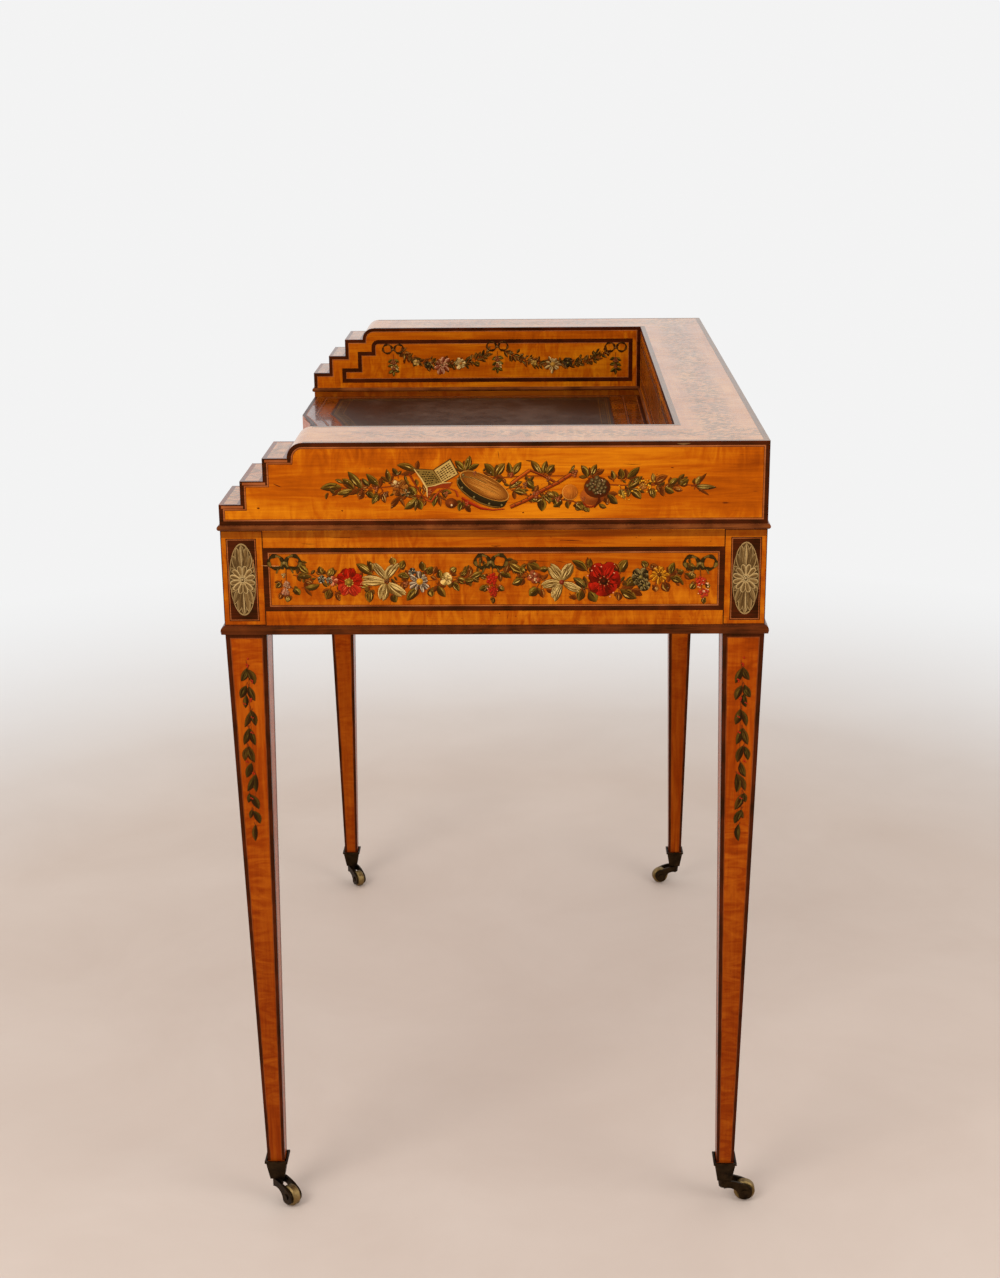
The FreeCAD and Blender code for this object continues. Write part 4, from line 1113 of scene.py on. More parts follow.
def leg_bands():
    """Dark edges and a line down every face of the legs."""
    dark, thin = inlay("leg", line=LINE_LOW)
    top, foot, line_top = leg_half(FRIEZE_FOOT), leg_half(ANKLE), FRIEZE_FOOT - 4.4
    faces = [leg_face(side, end, nx, ny) for side in (-1, 1) for end in (-1, 1)
             for nx, ny in ((1, 0), (-1, 0), (0, 1), (0, -1))]
    for face in faces:
        dark.on(face)
        thin.on(face)
        for s in (-1, 1):
            edge = ((top, FRIEZE_FOOT), (top - 4.6, FRIEZE_FOOT), (foot - 2.9, ANKLE), (foot, ANKLE))
            dark.plate([(s * u, v) for u, v in edge], step=40)
            line = ((top - 4.6, line_top), (top - 5.6, line_top), (foot - 3.6, ANKLE), (foot - 2.9, ANKLE))
            thin.plate([(s * u, v) for u, v in line], step=40)
        dark.plate(rect(-top + 1, line_top, top - 1, FRIEZE_FOOT), 0.105)
        thin.plate(rect(-top + 4.7, line_top - 1, top - 4.7, line_top), 0.135)
    finished(dark, thin)


def front_bands():
    """Bands on the front of the desk: posts, rails, dividers and the edge of the top."""
    dark, thin = inlay("front", BOW)
    divider, rail_half = 229, 464
    for side in (-1, 1):
        block(dark, thin, side * FRONT_BLOCK, FRONT_BLOCK_TOP)
        dark.ring(rect(side * BACK_PANEL, BASE_TOP, side * HALF_LENGTH, WRITING), 0.0, 0.7, 0.09)
        dark.plate(rect(side * divider - 5.5, BASE_TOP + 1, side * divider + 5.5, 767))
    for work, low, high in ((dark, 784.4, 786.8), (thin, 783.4, 784.4), (dark, 768.1, 769.6)):
        work.plate(rect(-rail_half, low, rail_half, high), step=8)
    finished(dark, thin)


def drawer_border(body, face, edge, rim, inner, line, step=None):
    """Thin rim, band and line round a drawer's front, by their distances inside its edge."""
    dark, thin = inlay(body, face, body)
    dark.ring(edge, 0.0, rim, step=step)
    dark.ring(edge, 6.0, inner, step=step)
    thin.ring(edge, inner, line, step=step)
    finished(dark, thin)


def frieze_drawer(name, x0, x1):
    """What lies on a frieze drawer's front: its bands, its key plate and its garlands."""
    body = name + "_drawer"
    drawer_border(body, BOW, rect(x0, 696.3, x1, 755.5), 1.6, 10.4, 11.4, 8)
    middle = (x0 + x1) / 2
    escutcheon(body, middle)
    p = painted(body + "_painting", BOW, 40 + len(name), body=body)
    if name == "centre":
        spans = ((x0 + 18, -124), (-88, -12), (12, 88), (124, x1 - 18))
    else:
        spans = ((x0 + 16, middle - 26), (middle + 26, x1 - 16))
    for u0, u1 in spans:
        small_swag(p, u0, u1)
    p.w.done()


def small_swag(p, u0, u1):
    """Light garland hung between two places, with a blossom at its lowest point."""
    half = 6
    shares = [i / (2 * half) for i in range(2 * half + 1)]
    sag = 9 if u1 - u0 < 100 else 12
    points = [(u0 + (u1 - u0) * t, 743.5 - sag * 4 * t * (1 - t)) for t in shares]
    p.branch(points[half::-1])
    p.branch(points[half:])
    low = points[half]
    p.petals(low, 6.4, 6, (196, 120, 96), (226, 176, 150), (110, 40, 26))
    p.w.dome(low, 1.8, (200, 160, 70), height=0.45)
    p.bud(points[half - 3], 3.6, RED)
    p.bud(points[half + 3], 3.6, (214, 168, 40))
    for end in (points[0], points[-1]):
        p.bow(end, 3.6, False)


def escutcheon(body, x):
    """Small oval key plate over the drawer's lock; its keyhole is a dark plate, painted shade standing for
    the hole.
    """
    work = Work(body + "_escutcheon", body, "knob_brass", BRASS).on(BOW)
    work.plate(oval((x, 727), 5.2, 8.4, 32), 0.5)
    work.ring(oval((x, 727), 5.6, 8.8, 32), 0.0, 1.0, 0.8)
    # Painted shade: a dark plate where the keyhole opens
    keyhole_shade = Work(body + "_keyhole", body, "moulding_wood", BAND).on(BOW)
    keyhole_shade.plate(oval((x, 728.6), 1.5, 1.5, 16), 0.56)
    keyhole_shade.plate([(x - 0.7, 728), (x + 0.7, 728), (x + 1.1, 723.2), (x - 1.1, 723.2)], 0.57)
    finished(work, keyhole_shade)


def gallery_bands():
    """Bands on the back's inner face and on its three drawers."""
    face = band_face("Y", -1, BACK_INNER)
    dark, thin = inlay("gallery_back", face)
    band_foot = 879.4
    dark.plate(rect(-ARM_INNER, band_foot, ARM_INNER, TOP))
    thin.plate(rect(-ARM_INNER, band_foot - 1, ARM_INNER, band_foot))
    for side in (-1, 1):
        dark.plate(rect(side * (ARM_INNER - 4), WAIST + 0.5, side * ARM_INNER, band_foot), 0.105)
    finished(dark, thin)
    for index, name in enumerate(DRAWERS):
        x0 = -349.6 + 237.333 * index
        edge = rect(x0, 806.4, x0 + 224.53, 868.6)
        drawer_border("gallery_" + name + "_drawer", face, edge, 1.0, 9.0, 10.0)


def back_bands():
    """The plain back: a border round the gallery board and a panel line in the frieze."""
    dark, thin = inlay("back", BACK)
    board = rect(-HALF_LENGTH, WAIST, HALF_LENGTH, TOP)
    dark.ring(board, 0.0, 4.3)
    thin.ring(board, 4.3, 5.5)
    panel = rect(-BACK_PANEL, PANEL_FOOT, BACK_PANEL, PANEL_TOP)
    dark.ring(panel, 0.0, 5.0)
    thin.ring(panel, 5.0, 6.2)
    for side in (-1, 1):
        seams(dark, side * BACK_PANEL)
        block(dark, thin, side * FRONT_BLOCK)
    finished(dark, thin)


# Painted ornament


# Leaves as foot, tip, breadth and kind, in mm, on the end's two fields
TROPHY_LEAVES = (
    (-153, 839, -175, 838, 9.2, 0), (-140, 837, -152, 848, 6.7, 0), (-132, 838, -146, 855, 8.6, 0),
    (-142, 836, -158, 832, 6.4, 0), (-114, 839, -128, 853, 8, 0), (-125, 840, -132, 848, 5.4, 2),
    (-132, 835, -135, 826, 7.3, 1), (-127, 835, -120, 828, 6.7, 0), (-115, 832, -122, 822, 6.7, 0),
    (-111, 832, -109, 823, 5.1, 1), (-104, 844, -107, 858, 5.7, 0), (-96, 851, -101, 859, 5.4, 2),
    (-77, 855, -96, 862, 7.7, 0), (-94, 829, -104, 817, 5.4, 1), (-93, 829, -92, 823, 3.8, 1),
    (-78, 830, -85, 839, 7.7, 0), (-76, 828, -90, 816, 7.7, 0), (-75, 826, -72, 816, 7.3, 0),
    (-56, 832, -60, 819, 7, 0), (-54, 830, -53, 819, 3.8, 1), (-51, 834, -41, 833, 5.4, 0),
    (-31, 824, -34, 814, 5.4, 0), (-27, 821, -22, 813, 5.1, 0), (-28, 856, -38, 866, 7, 0),
    (-27, 856, -22, 871, 7.7, 0), (-24, 857, -13, 862, 5.7, 0), (1, 850, -8, 863, 7.7, 0),
    (3, 850, 13, 863, 8.9, 0), (19, 853, 17, 864, 6.1, 0), (21, 851, 29, 864, 7.3, 0),
    (49, 853, 39, 866, 7, 0), (52, 853, 55, 865, 6.4, 0), (55, 852, 63, 861, 6.7, 0),
    (17, 837, 30, 844, 5.4, 0), (21, 835, 35, 831, 6.7, 0), (35, 845, 43, 837, 7, 0),
    (49, 828, 50, 813, 8.9, 0), (54, 832, 62, 828, 6.7, 0), (63, 829, 68, 817, 7.3, 0),
    (41, 830, 37, 823, 5.7, 0), (27, 840, 21, 845, 5.4, 0), (96, 849, 90, 861, 6.7, 0),
    (100, 850, 105, 862, 6.7, 0), (103, 851, 113, 856, 5.7, 1), (122, 846, 120, 855, 5.1, 0),
    (130, 847, 129, 857, 7.3, 0), (136, 847, 148, 859, 7.3, 0), (84, 822, 91, 814, 8.3, 0),
    (91, 817, 98, 813, 6.7, 0), (68, 826, 60, 834, 6.1, 0), (70, 825, 61, 818, 7, 0),
    (52, 830, 59, 823, 7, 0), (38, 828, 45, 824, 5.7, 0), (117, 831, 127, 821, 8.3, 2),
    (115, 828, 116, 819, 5.7, 1), (130, 836, 133, 826, 6.7, 3), (137, 837, 150, 846, 7.3, 0),
    (139, 836, 150, 826, 8, 0), (163, 842, 177, 850, 7.3, 1), (160, 836, 163, 826, 7.3, 0),
    (171, 838, 173, 828, 6.1, 1), (174, 838, 184, 832, 6.7, 0), (178, 841, 187, 847, 6.7, 0),
    (182, 837, 192, 834, 5.7, 1), (189, 840, 198, 846, 8, 0), (205, 840, 209, 849, 6.1, 3),
    (205, 839, 226, 838, 5.7, 2), (163, 843, 162, 852, 4.8, 3), (142, 844, 148, 849, 4.8, 0),
)
GARLAND_LEAVES = (
    (-200, 759, -190, 749, 7.6, 0), (-201, 746, -187, 745, 7, 0), (-195, 734, -179, 737, 7, 0),
    (-176, 748, -178, 757, 6.6, 0), (-170, 746, -164, 755, 7.6, 0), (-168, 732, -173, 721, 9.3, 0),
    (-162, 728, -158, 720, 5.3, 1), (-125, 748, -141, 759, 8.6, 0), (-124, 751, -127, 762, 7, 0),
    (-129, 734, -141, 737, 7.6, 3), (-102, 758, -104, 766, 7.6, 3), (-95, 753, -91, 763, 7.6, 0),
    (-86, 745, -98, 746, 8, 0), (-127, 731, -128, 718, 8.6, 0), (-104, 726, -100, 718, 8.6, 0),
    (-78, 734, -90, 720, 10, 0), (-71, 752, -73, 762, 7.6, 0), (-68, 748, -62, 756, 7.6, 0),
    (-61, 749, -58, 756, 5.3, 1), (-65, 732, -64, 724, 7.6, 0), (-57, 736, -49, 723, 8.3, 0),
    (-43, 749, -38, 755, 7, 0), (-41, 740, -35, 730, 7.3, 0), (-37, 743, -28, 738, 7.6, 0),
    (-219, 740, -224, 734, 6.3, 0), (-206, 733, -200, 726, 7, 0), (-211, 726, -213, 718, 7, 0),
    (-219, 728, -221, 722, 5.3, 1), (-93, 738, -94, 730, 5, 1), (-186, 738, -194, 740, 5.6, 1),
    (-54, 744, -56, 753, 6, 0), (-27, 745, -24, 756, 6.1, 1), (-34, 746, -28, 753, 5.6, 0),
    (-23, 745, -11, 750, 7.3, 0), (-30, 740, -20, 742, 6.9, 0), (16, 759, 32, 749, 9.3, 0),
    (35, 758, 48, 753, 8.1, 0), (7, 749, 18, 744, 7.3, 0), (31, 743, 19, 737, 8.5, 0),
    (45, 733, 37, 724, 10.5, 0), (48, 751, 57, 753, 7.3, 0), (49, 731, 51, 722, 6.5, 1),
    (-7, 744, -14, 746, 5.6, 0), (-5, 734, -15, 731, 6.5, 0), (5, 734, 11, 730, 6.1, 0),
    (0, 723, -1, 716, 4.4, 0), (95, 733, 82, 744, 8.9, 2), (96, 751, 80, 762, 8.1, 0),
    (99, 754, 99, 764, 6.5, 0), (91, 731, 88, 719, 11.3, 0), (98, 729, 105, 718, 10.5, 0),
    (128, 750, 122, 760, 8.5, 0), (130, 750, 137, 762, 9.7, 0), (137, 734, 148, 744, 10.1, 0),
    (130, 731, 147, 721, 10.5, 0), (142, 731, 153, 724, 6.5, 1), (129, 727, 128, 719, 6.9, 1),
    (157, 754, 152, 761, 7.3, 0), (161, 753, 168, 757, 7.3, 1), (181, 747, 185, 759, 7.7, 0),
    (175, 739, 180, 729, 9.3, 0), (165, 735, 166, 728, 6.9, 1), (181, 744, 194, 739, 9.3, 0),
    (187, 749, 195, 751, 6.5, 0), (206, 743, 199, 746, 6.5, 0), (206, 737, 202, 731, 7.3, 0),
    (218, 737, 221, 732, 5.6, 0), (215, 721, 215, 715, 4.8, 0), (62, 731, 54, 731, 6.9, 1),
    (80, 725, 86, 722, 6.9, 1), (33, 750, 27, 754, 6.9, 0),
)
# The same without kind, down a leg's face from its middle line
HUSKS = (
    (-1.1, 646, -8, 634, 6), (0.1, 645, 6, 630, 6.6), (-2.7, 627, -9.6, 615, 6.3), (-3, 617, -5.1, 604, 5.4),
    (-0.3, 626, 5.8, 612, 6.3), (-0.1, 599, -6.7, 582, 5.4), (0.5, 600, 4.7, 584, 6.6),
    (-2.4, 579, -8.7, 562, 6.3), (-1.5, 579, 3.5, 562, 6.3), (-4.8, 558, -9.4, 544, 6),
    (-3.8, 559, 1.7, 542, 6.9), (-1.8, 540, -7.7, 525, 6.6), (0.3, 526, -7.8, 509, 5.7),
    (1.7, 527, 2.1, 508, 6), (-5.8, 505, -7.7, 496, 4.9), (-4.7, 504, 2.9, 488, 6.9),
    (-4.1, 486, -6.7, 478, 4), (-3.2, 485, 2.9, 472, 6), (-2.1, 469, -2.6, 451, 5.7),
)

# Scratches as both ends and half breadth
SCRATCHES = (
    (-2, 777.5, 8, 777.6, 0.5), (-30, 752, -6, 752.4, 0.22), (-6, 748, 24, 757, 0.22),
    (-196, 780.6, -180, 780.2, 0.3), (68, 783, 92, 782, 0.5), (20, 762, 60, 760.4, 0.3),
    (64, 761, 74, 759.6, 0.3), (14, 699.6, 15, 706.5, 0.2), (-166, 786.6, -138, 786.2, 0.25),
    (34, 866, 41, 865.4, 0.7), (42, 861.4, 44, 861, 0.8), (-222, 843, -214, 839.5, 0.5),
    (-240, 818, -237, 817.6, 0.9), (6, 876, 7, 868, 0.25), (-154, 815, -152, 815, 0.8),
    (30, 812, 32, 812, 0.7), (180, 858, 183, 857.6, 0.5), (132, 862, 150, 861.6, 0.25),
)


def painted(name, face, seed, mirror=1, body="desk", material=PAINT):
    """Painter of a new piece of work on a face."""
    return Painter(Work(name, body, "satinwood", material).on(face), seed, mirror)


def patera(p, c, a, b):
    """Long oval of carved leaves: a tall palm up and down, and short petals round a ringed boss."""
    ground, pale, dim, gap, light = (74, 54, 24), (150, 128, 78), (108, 86, 46), (48, 32, 14), (180, 160, 104)
    p.w.plate(oval(c, a, b, 36), 0.14, pale)
    p.w.plate(oval(c, a * 0.96, b * 0.96, 36), 0.16, ground)
    for up in (1, -1):
        for turn in (70, -70, 46, -46, 23, -23, 0):
            bent = abs(turn)
            foot = (c[0] + a * 0.3 * math.sin(math.radians(turn)), c[1] + up * b * (0.30 - bent * 0.0024))
            reach = p.r.uniform(0.97, 0.99)
            tip = polar(c, up * math.radians(90 - turn), a * reach, b * reach)
            mid = blend(dim, ground, p.r.random() * 0.5)
            wide = a * (0.52 if bent < 60 else 0.44)
            high = 0.2 + 0.002 * (90 - bent)
            p.blade(foot, tip, wide, (pale, pale, pale), 0.0, LOBE, gap, 0, high, 0.0)
            near, far = blend(foot, tip, 0.05), blend(foot, tip, 0.94)
            tones = (mid, blend(mid, pale, 0.45), blend(mid, gap, 0.45))
            p.blade(near, far, wide * 0.72, tones, 0.0, LOBE, None, 2, high + 0.2, 0.06, pale)
        near, far = (c[0], c[1] + up * b * 0.34), (c[0], c[1] + up * b * 0.97)
        p.blade(near, far, a * 0.13, (pale, (196, 176, 118), dim), 0.0, BLADE, None, 0, 0.84, 0.05)
    for i in range(12):
        t = i * math.pi / 6 + math.pi / 12
        foot, tip = polar(c, t, a * 0.2, a * 0.24), polar(c, t, a * 0.97, a * 1.12)
        tones = (blend(pale, (190, 170, 112), 0.3), light, pale)
        p.blade(foot, tip, a * 0.40, tones, 0.0, PETAL, gap, 0, 0.86, 0.0)
        near, far = blend(foot, tip, 0.14), blend(foot, tip, 0.92)
        tones = (dim, blend(dim, pale, 0.5), ground)
        p.blade(near, far, a * 0.25, tones, 0.0, PETAL, None, 1, 1.04, 0.04, pale)
    p.w.ring(oval(c, 2.6, 3.2, 18), 0.0, 0.7, 1.36, light)
    p.w.dome(c, 1.6, dim, (204, 184, 124), height=1.3, crown=0.3)


def paterae():
    """An oval on each of the posts' blocks, lower on the front."""
    for name, face, place, seed in (
            ("right", END["right"], END_BLOCK, 11), ("left", END["left"], END_BLOCK, 11),
            ("front", BOW, FRONT_BLOCK, 12), ("back", BACK, FRONT_BLOCK, 13)):
        p = painted(name + "_paterae", face, seed, material=PAINT_PALE)
        height, wide, tall = (731, 13.4, 30) if name == "front" else (742.5, 13.6, 38.5)
        for side in (-1, 1):
            patera(p, (side * place, height), wide, tall)
        p.w.done()


def husks(side, end, nx, ny, seed):
    """Drop of leaves in hanging pairs down one face of a leg."""
    name = "husks_%s_%s_%d" % (("left", "right")[side > 0], ("front", "back")[end > 0], seed)
    p = painted(name, leg_face(side, end, nx, ny), seed, -1 if end * side > 0 else 1)
    spine = ((-1.6, 655), (0.4, 630), (-0.6, 600), (0.2, 560), (0.6, 520), (-0.4, 480), (0, 462))
    p.stem(spine, 0.4, (92, 36, 10))
    rows = [(u0, v0, u1, v1 - 1.5, wide * 1.22, KINDS.index(HUSK)) for u0, v0, u1, v1, wide in HUSKS]
    p.leaves(rows, around=0.0, bright=(96, 90, 44), glints=0.15)
    p.w.level = FLOWER_LEVEL
    for u, v, n in ((-0.5, 657, 1), (-0.6, 650, 3), (3.5, 632.5, 3), (0.8, 611.4, 4), (-5.4, 606.6, 2),
                    (1.9, 591.2, 2), (0.8, 574, 2), (-6.2, 541, 2), (0, 527.7, 2), (-3.6, 499, 2)):
        p.berries(p.at(u, v), 1.7, n, (150, 24, 8), 0.95)
    p.w.done()


def frieze_garland(side, seed, mirror):
    """Two festoons of flowers between three bows, with a pendant under each bow."""
    p = painted(side + "_frieze_garland", END[side], seed, mirror)
    at, line = p.at, p.line
    for points in (
            line((-204, 757), (-180, 744), (-148, 738), (-100, 739), (-50, 742), (-20, 747), (-8, 757)),
            line((10, 758), (30, 748), (50, 741), (90, 739), (130, 738), (170, 743), (195, 748), (204, 756))):
        p.stem(points, 0.5, (96, 40, 12))
        p.undergrowth(points, 54, 4.6)
    p.leaves(GARLAND_LEAVES)
    p.w.level = FLOWER_LEVEL
    # Left festoon
    for u, v, r in ((-176.9, 743.2, 4.6), (-168.6, 741.5, 3.6), (-83, 750.7, 4.4)):
        p.petals(at(u, v), r, 6, (56, 62, 70), (140, 146, 142), (24, 26, 32), 0.36, vary=0.2)
        p.sprinkle(at(u, v), r, 3, (206, 206, 196), 0.6)
    p.blossoms(at(-90, 737), 4, (120, 50, 20), (176, 110, 60), 4)
    p.red_flower(at(-148.5, 739.4), 15.2, 0.25)
    p.petals(at(-165, 741), 5, 4, (180, 92, 70), (214, 160, 140), (110, 30, 16), 0.5)
    p.star(((-110, 743, -124, 761, 7.6), (-110, 743, -98, 759, 9.4), (-112, 740, -135, 742, 8.4),
            (-112, 738, -114, 720, 10.5), (-108, 738, -91, 726, 10)))
    p.blossoms(at(-109, 741), 3, (70, 30, 12), (150, 120, 60), 5)
    p.daisy(at(-75.7, 740.1), 10.8, 13, (116, 106, 104), (196, 138, 16), (206, 202, 200), (46, 36, 40))
    p.bud(at(-48, 742.8), 7.4)
    # Right festoon
    p.blossoms(at(41.5, 743.9), 7.4, (128, 42, 24))
    p.star(((70, 741, 57, 758, 8.6), (70, 741, 80, 759, 9.4), (72, 738, 90, 730, 8.4), (69, 737, 60, 720, 11),
            (68, 738, 48, 734, 8.6)))
    p.w.dome(at(70, 739), 2.6, (104, 14, 8), height=0.6)
    p.rose(at(113.3, 739.9), 19.5)
    p.dark_rose(at(150.8, 744.2), 9.4)
    p.dark_rose(at(154.5, 735.4), 6.4)
    yellow = at(170, 746.6)
    p.petals(yellow, 9.2, 11, (156, 98, 9), (206, 158, 42), (92, 48, 8), 0.22, vary=0.13, streaks=3)
    p.w.dome(yellow, 2.6, (70, 34, 8), (112, 64, 16), height=0.6)
    p.dots(yellow, 2.7, 7, (214, 164, 40), 0.6)
    # Pendants and bows
    p.stem(line((-213, 757), (-213, 722)), 0.5, (80, 40, 14))
    p.blossoms(at(-212.5, 736.5), 4.6, (150, 104, 92), (196, 176, 172))
    p.blossoms(at(-214.4, 729), 4.6, (140, 88, 78), (196, 176, 172))
    p.blossoms(at(-216, 747), 2.8, (150, 130, 84), (206, 192, 150), 4)
    p.stem(line((-1, 757), (-1, 716)), 0.5, (80, 40, 14))
    p.berries(at(-1.1, 742.5), 5.4, 13, (150, 14, 9), 1.7)
    p.berries(at(-0.3, 729.5), 4.8, 12, (140, 16, 10), 1.6)
    p.sprinkle(at(-0.8, 736), 8, 9, (206, 120, 104), 0.6)
    p.stem(line((211, 757), (215, 716)), 0.5, (80, 40, 14))
    p.blossoms(at(203, 748), 3, (120, 100, 40), (206, 196, 120), 5)
    p.berries(at(212.4, 739.5), 4.8, 10, (166, 38, 28), 1.6)
    p.berries(at(215.8, 727), 4.6, 10, (160, 40, 30), 1.6)
    p.sprinkle(at(214, 733), 8, 16, (228, 190, 170), 0.75)
    for u, v in ((-214.4, 760.2), (-2.5, 760.4), (211.5, 758.2)):
        p.bow(at(u, v), 8.7)
    p.w.done()


def pipes(p):
    for points, wide, colour in (
            (((19, 842), (28, 849), (38, 856)), 1.3, (160, 70, 20)),
            (((38, 856), (50, 851), (63, 844)), 0.9, (104, 30, 9)),
            (((18, 818), (34, 825), (50, 835), (66, 843), (80, 852)), 1.5, (136, 50, 15))):
        tube = p.line(*points)
        p.w.stroke(tube, [wide * 1.15 + 0.2] * len(tube), (74, 22, 6), height=0.34)
        lit, shade = blend(colour, (222, 150, 80), 0.4), blend(colour, (60, 18, 6), 0.6)
        p.w.stroke(tube, [wide] * len(tube), colour, lit, shade, 0.4, 0.2)
    for k in range(9):
        p.w.dome(p.at(23 + k * 6.2, 820.5 + k * 3.4), 0.8, (58, 18, 6), height=0.72, sides=6)
    p.blossoms(p.at(83, 852.4), 4.2, (108, 40, 12), (170, 96, 50), 4)


def open_book(p):
    """Book of two pages with lines of plain strokes, on a stick and a scroll."""
    w, at, line = p.w, p.at, p.line
    p.stem(line((-84, 853), (-76, 838), (-68, 825)), 1.1, (96, 22, 8))
    scroll = line((-68, 826), (-62, 824), (-58, 830), (-52, 836), (-44, 838), (-37, 835), (-35, 829))
    p.tape(scroll, 1.1, (142, 52, 18))
    p.tape(line((-31, 828), (-24, 823), (-12, 817), (0, 815), (12, 816)), 1.5, (136, 24, 10))
    w.plate(line((-79.5, 858.5), (-60, 857), (-51, 843), (-66.5, 838), (-67.5, 839)), 0.44, (74, 50, 20))
    under = line((-66.5, 839.5), (-50, 843), (-40, 844), (-44, 838), (-56, 838), (-66, 828))
    w.plate(under, 0.42, (128, 48, 18))
    w.plate(line((-78, 857.4), (-60, 856.4), (-51, 843.4), (-66.2, 839.8)), 0.5, (128, 110, 62))
    w.plate(line((-59.6, 857), (-42, 868.4), (-33.6, 852.4), (-50.6, 842.4)), 0.48, (70, 48, 20))
    w.plate(line((-58.6, 856.4), (-42.4, 866.8), (-35, 852.6), (-50.6, 843.6)), 0.54, (182, 164, 112))
    edge = (206, 190, 140)
    side = line((-79, 858), (-72, 848), (-66.4, 838), (-66, 829))
    w.stroke(side, [0.35, 0.7, 0.8, 0.3], (196, 178, 126), edge, height=0.62)
    foot = line((-66, 839.4), (-58, 841), (-50.6, 843.4), (-42, 843.6))
    w.stroke(foot, [0.2, 0.5, 0.5, 0.2], (190, 172, 120), edge, height=0.62)
    # A page is its two upper corners, its two lower ones, its ink and its lights
    pages = (((-77, 857), (-60.8, 855.8), (-65.6, 840.4), (-51.8, 843.2), (36, 30, 14), (150, 134, 84)),
             ((-57.4, 855.6), (-43.4, 865.4), (-50, 844), (-36.2, 852.4), (58, 36, 14), (226, 212, 164)))
    for i in range(6):
        down = 0.12 + i * 0.15
        for left, right, low_left, low_right, ink, light in pages:
            start, stop = blend(left, low_left, down), blend(right, low_right, down)
            for k in range(6):
                first, last = (k + 0.1) / 6, (k + p.r.uniform(0.7, 1.0)) / 6
                marks = []
                for share in (first, (first + last) / 2, last):
                    u, v = blend(start, stop, share)
                    marks.append(at(u, v + p.r.uniform(-0.25, 0.25)))
                widths = [0.25, p.r.uniform(0.45, 0.8), 0.2]
                w.stroke(marks, widths, light if p.r.random() < 0.15 else ink, ink, height=0.66, crown=0.02)


def tambourine(p):
    """Shallow drum seen aslant, with a worn skin and discs in its hoop."""
    w, r = p.w, p.r
    centre, reach, slant = (-8, 840), (27.5, 10.6), (0.882, 0.471)

    def aslant(x, y, dx=0.0, dy=0.0):
        c, s = slant
        return p.at(centre[0] + x * c + y * s + dx, centre[1] - x * s + y * c + dy)

    def hoop(k=1.0, dx=0.0, dy=0.0):
        return [aslant(x, y, dx, dy) for x, y in oval((0, 0), reach[0] * k, reach[1] * k, 40)]

    for k in range(5):
        tone = blend((34, 34, 24), (20, 14, 8), k / 4)
        w.plate(hoop(1.0, -0.7 * k - 0.6, -1.45 * k - 1.2), 0.56 - 0.02 * k, tone)
    rim = hoop(1.0, -3.0, -6.2)[10:39:3]
    w.stroke(rim[::-1], [0.2] + [0.55] * 8 + [0.2], (92, 74, 40), (112, 92, 52), height=0.62)
    for disc in hoop(1.0, -1.9, -4.2)[17:38:4]:
        w.dome(disc, 1.2, (84, 84, 60), (146, 142, 104), height=0.62, sides=8)
    w.plate(hoop(), 0.62, (178, 136, 70))
    for k in range(8):
        tone = blend((112, 66, 20), (178, 124, 56), k / 7)
        w.plate(hoop(0.965 - 0.09 * k, 0.7 * k, -0.6 * k), 0.63 + 0.004 * k, tone)
    for k in range(26):
        across, long, middle = r.uniform(-0.8, 0.8), r.uniform(5, 12), r.uniform(-10, 10)
        half = math.sqrt(1 - across * across) * 25
        marks = [aslant(max(-half, min(half, middle + long * q)), across * 9.4) for q in (-1, 0, 1)]
        colour = r.choice(((118, 74, 26), (136, 88, 34), (180, 132, 66), (192, 146, 80), (150, 100, 40)))
        w.stroke(marks, [0.05, r.uniform(0.15, 0.36), 0.05], colour, height=0.68, crown=0.02)
    w.stroke(hoop(0.9)[21:40:3], [0.1] + [0.22] * 5 + [0.1], (104, 58, 24), height=0.73)


def fruit(p):
    """Basket of dark fruit, its handle and a round fruit beside it."""
    w, r, at, line = p.w, p.r, p.at, p.line
    w.dome(at(101, 829), 12.5, (134, 62, 20), (176, 104, 46), 0.4, 0.1, 16, 0.75)
    w.ring(line(*oval((98.9, 823.3), 7.4, 6.4, 24)), 0.0, 1.4, 0.56, (122, 30, 10))
    w.plate(line(*oval((98.9, 823.3), 5.6, 4.6, 18)), 0.54, (168, 84, 28))
    w.stroke(line((108, 830), (108, 824), (103, 817)), [0.6, 1.6, 0.4], (70, 22, 8), (60, 18, 6), height=0.6)
    w.dome(at(105.9, 838.2), 13.4, (72, 26, 8), (96, 40, 14), 0.5, 0.1, 18, 0.82)
    for place in scattered((106, 839.4), 10.5, 20, squash=0.78):
        w.dome(at(*place), r.uniform(1.9, 2.8), p.jitter((40, 30, 16), 0.3), (134, 124, 96), 0.66, sides=8)
    p.sprinkle(at(107, 839), 8, 20, (206, 190, 176), 0.7)
    u, v = 78.3, 833.1
    w.dome(at(u, v), 8.0, (206, 158, 84), (206, 158, 84), 0.5, 0.02, 18)
    w.dome(at(u + 0.3, v + 0.2), 7.6, (168, 96, 28), (190, 118, 40), 0.54, 0.1, 18)
    for k in range(9):
        off = -6 + 1.5 * k
        high = 0.8 * math.sqrt(49 - off * off)
        marks = line((u + off, v - high), (u + off * 1.12, v), (u + off * 0.9, v + high))
        colour = blend((150, 78, 22), (222, 160, 84), r.random())
        w.stroke(marks, [0.1, r.uniform(0.3, 0.6), 0.1], colour, height=0.6, crown=0.02)


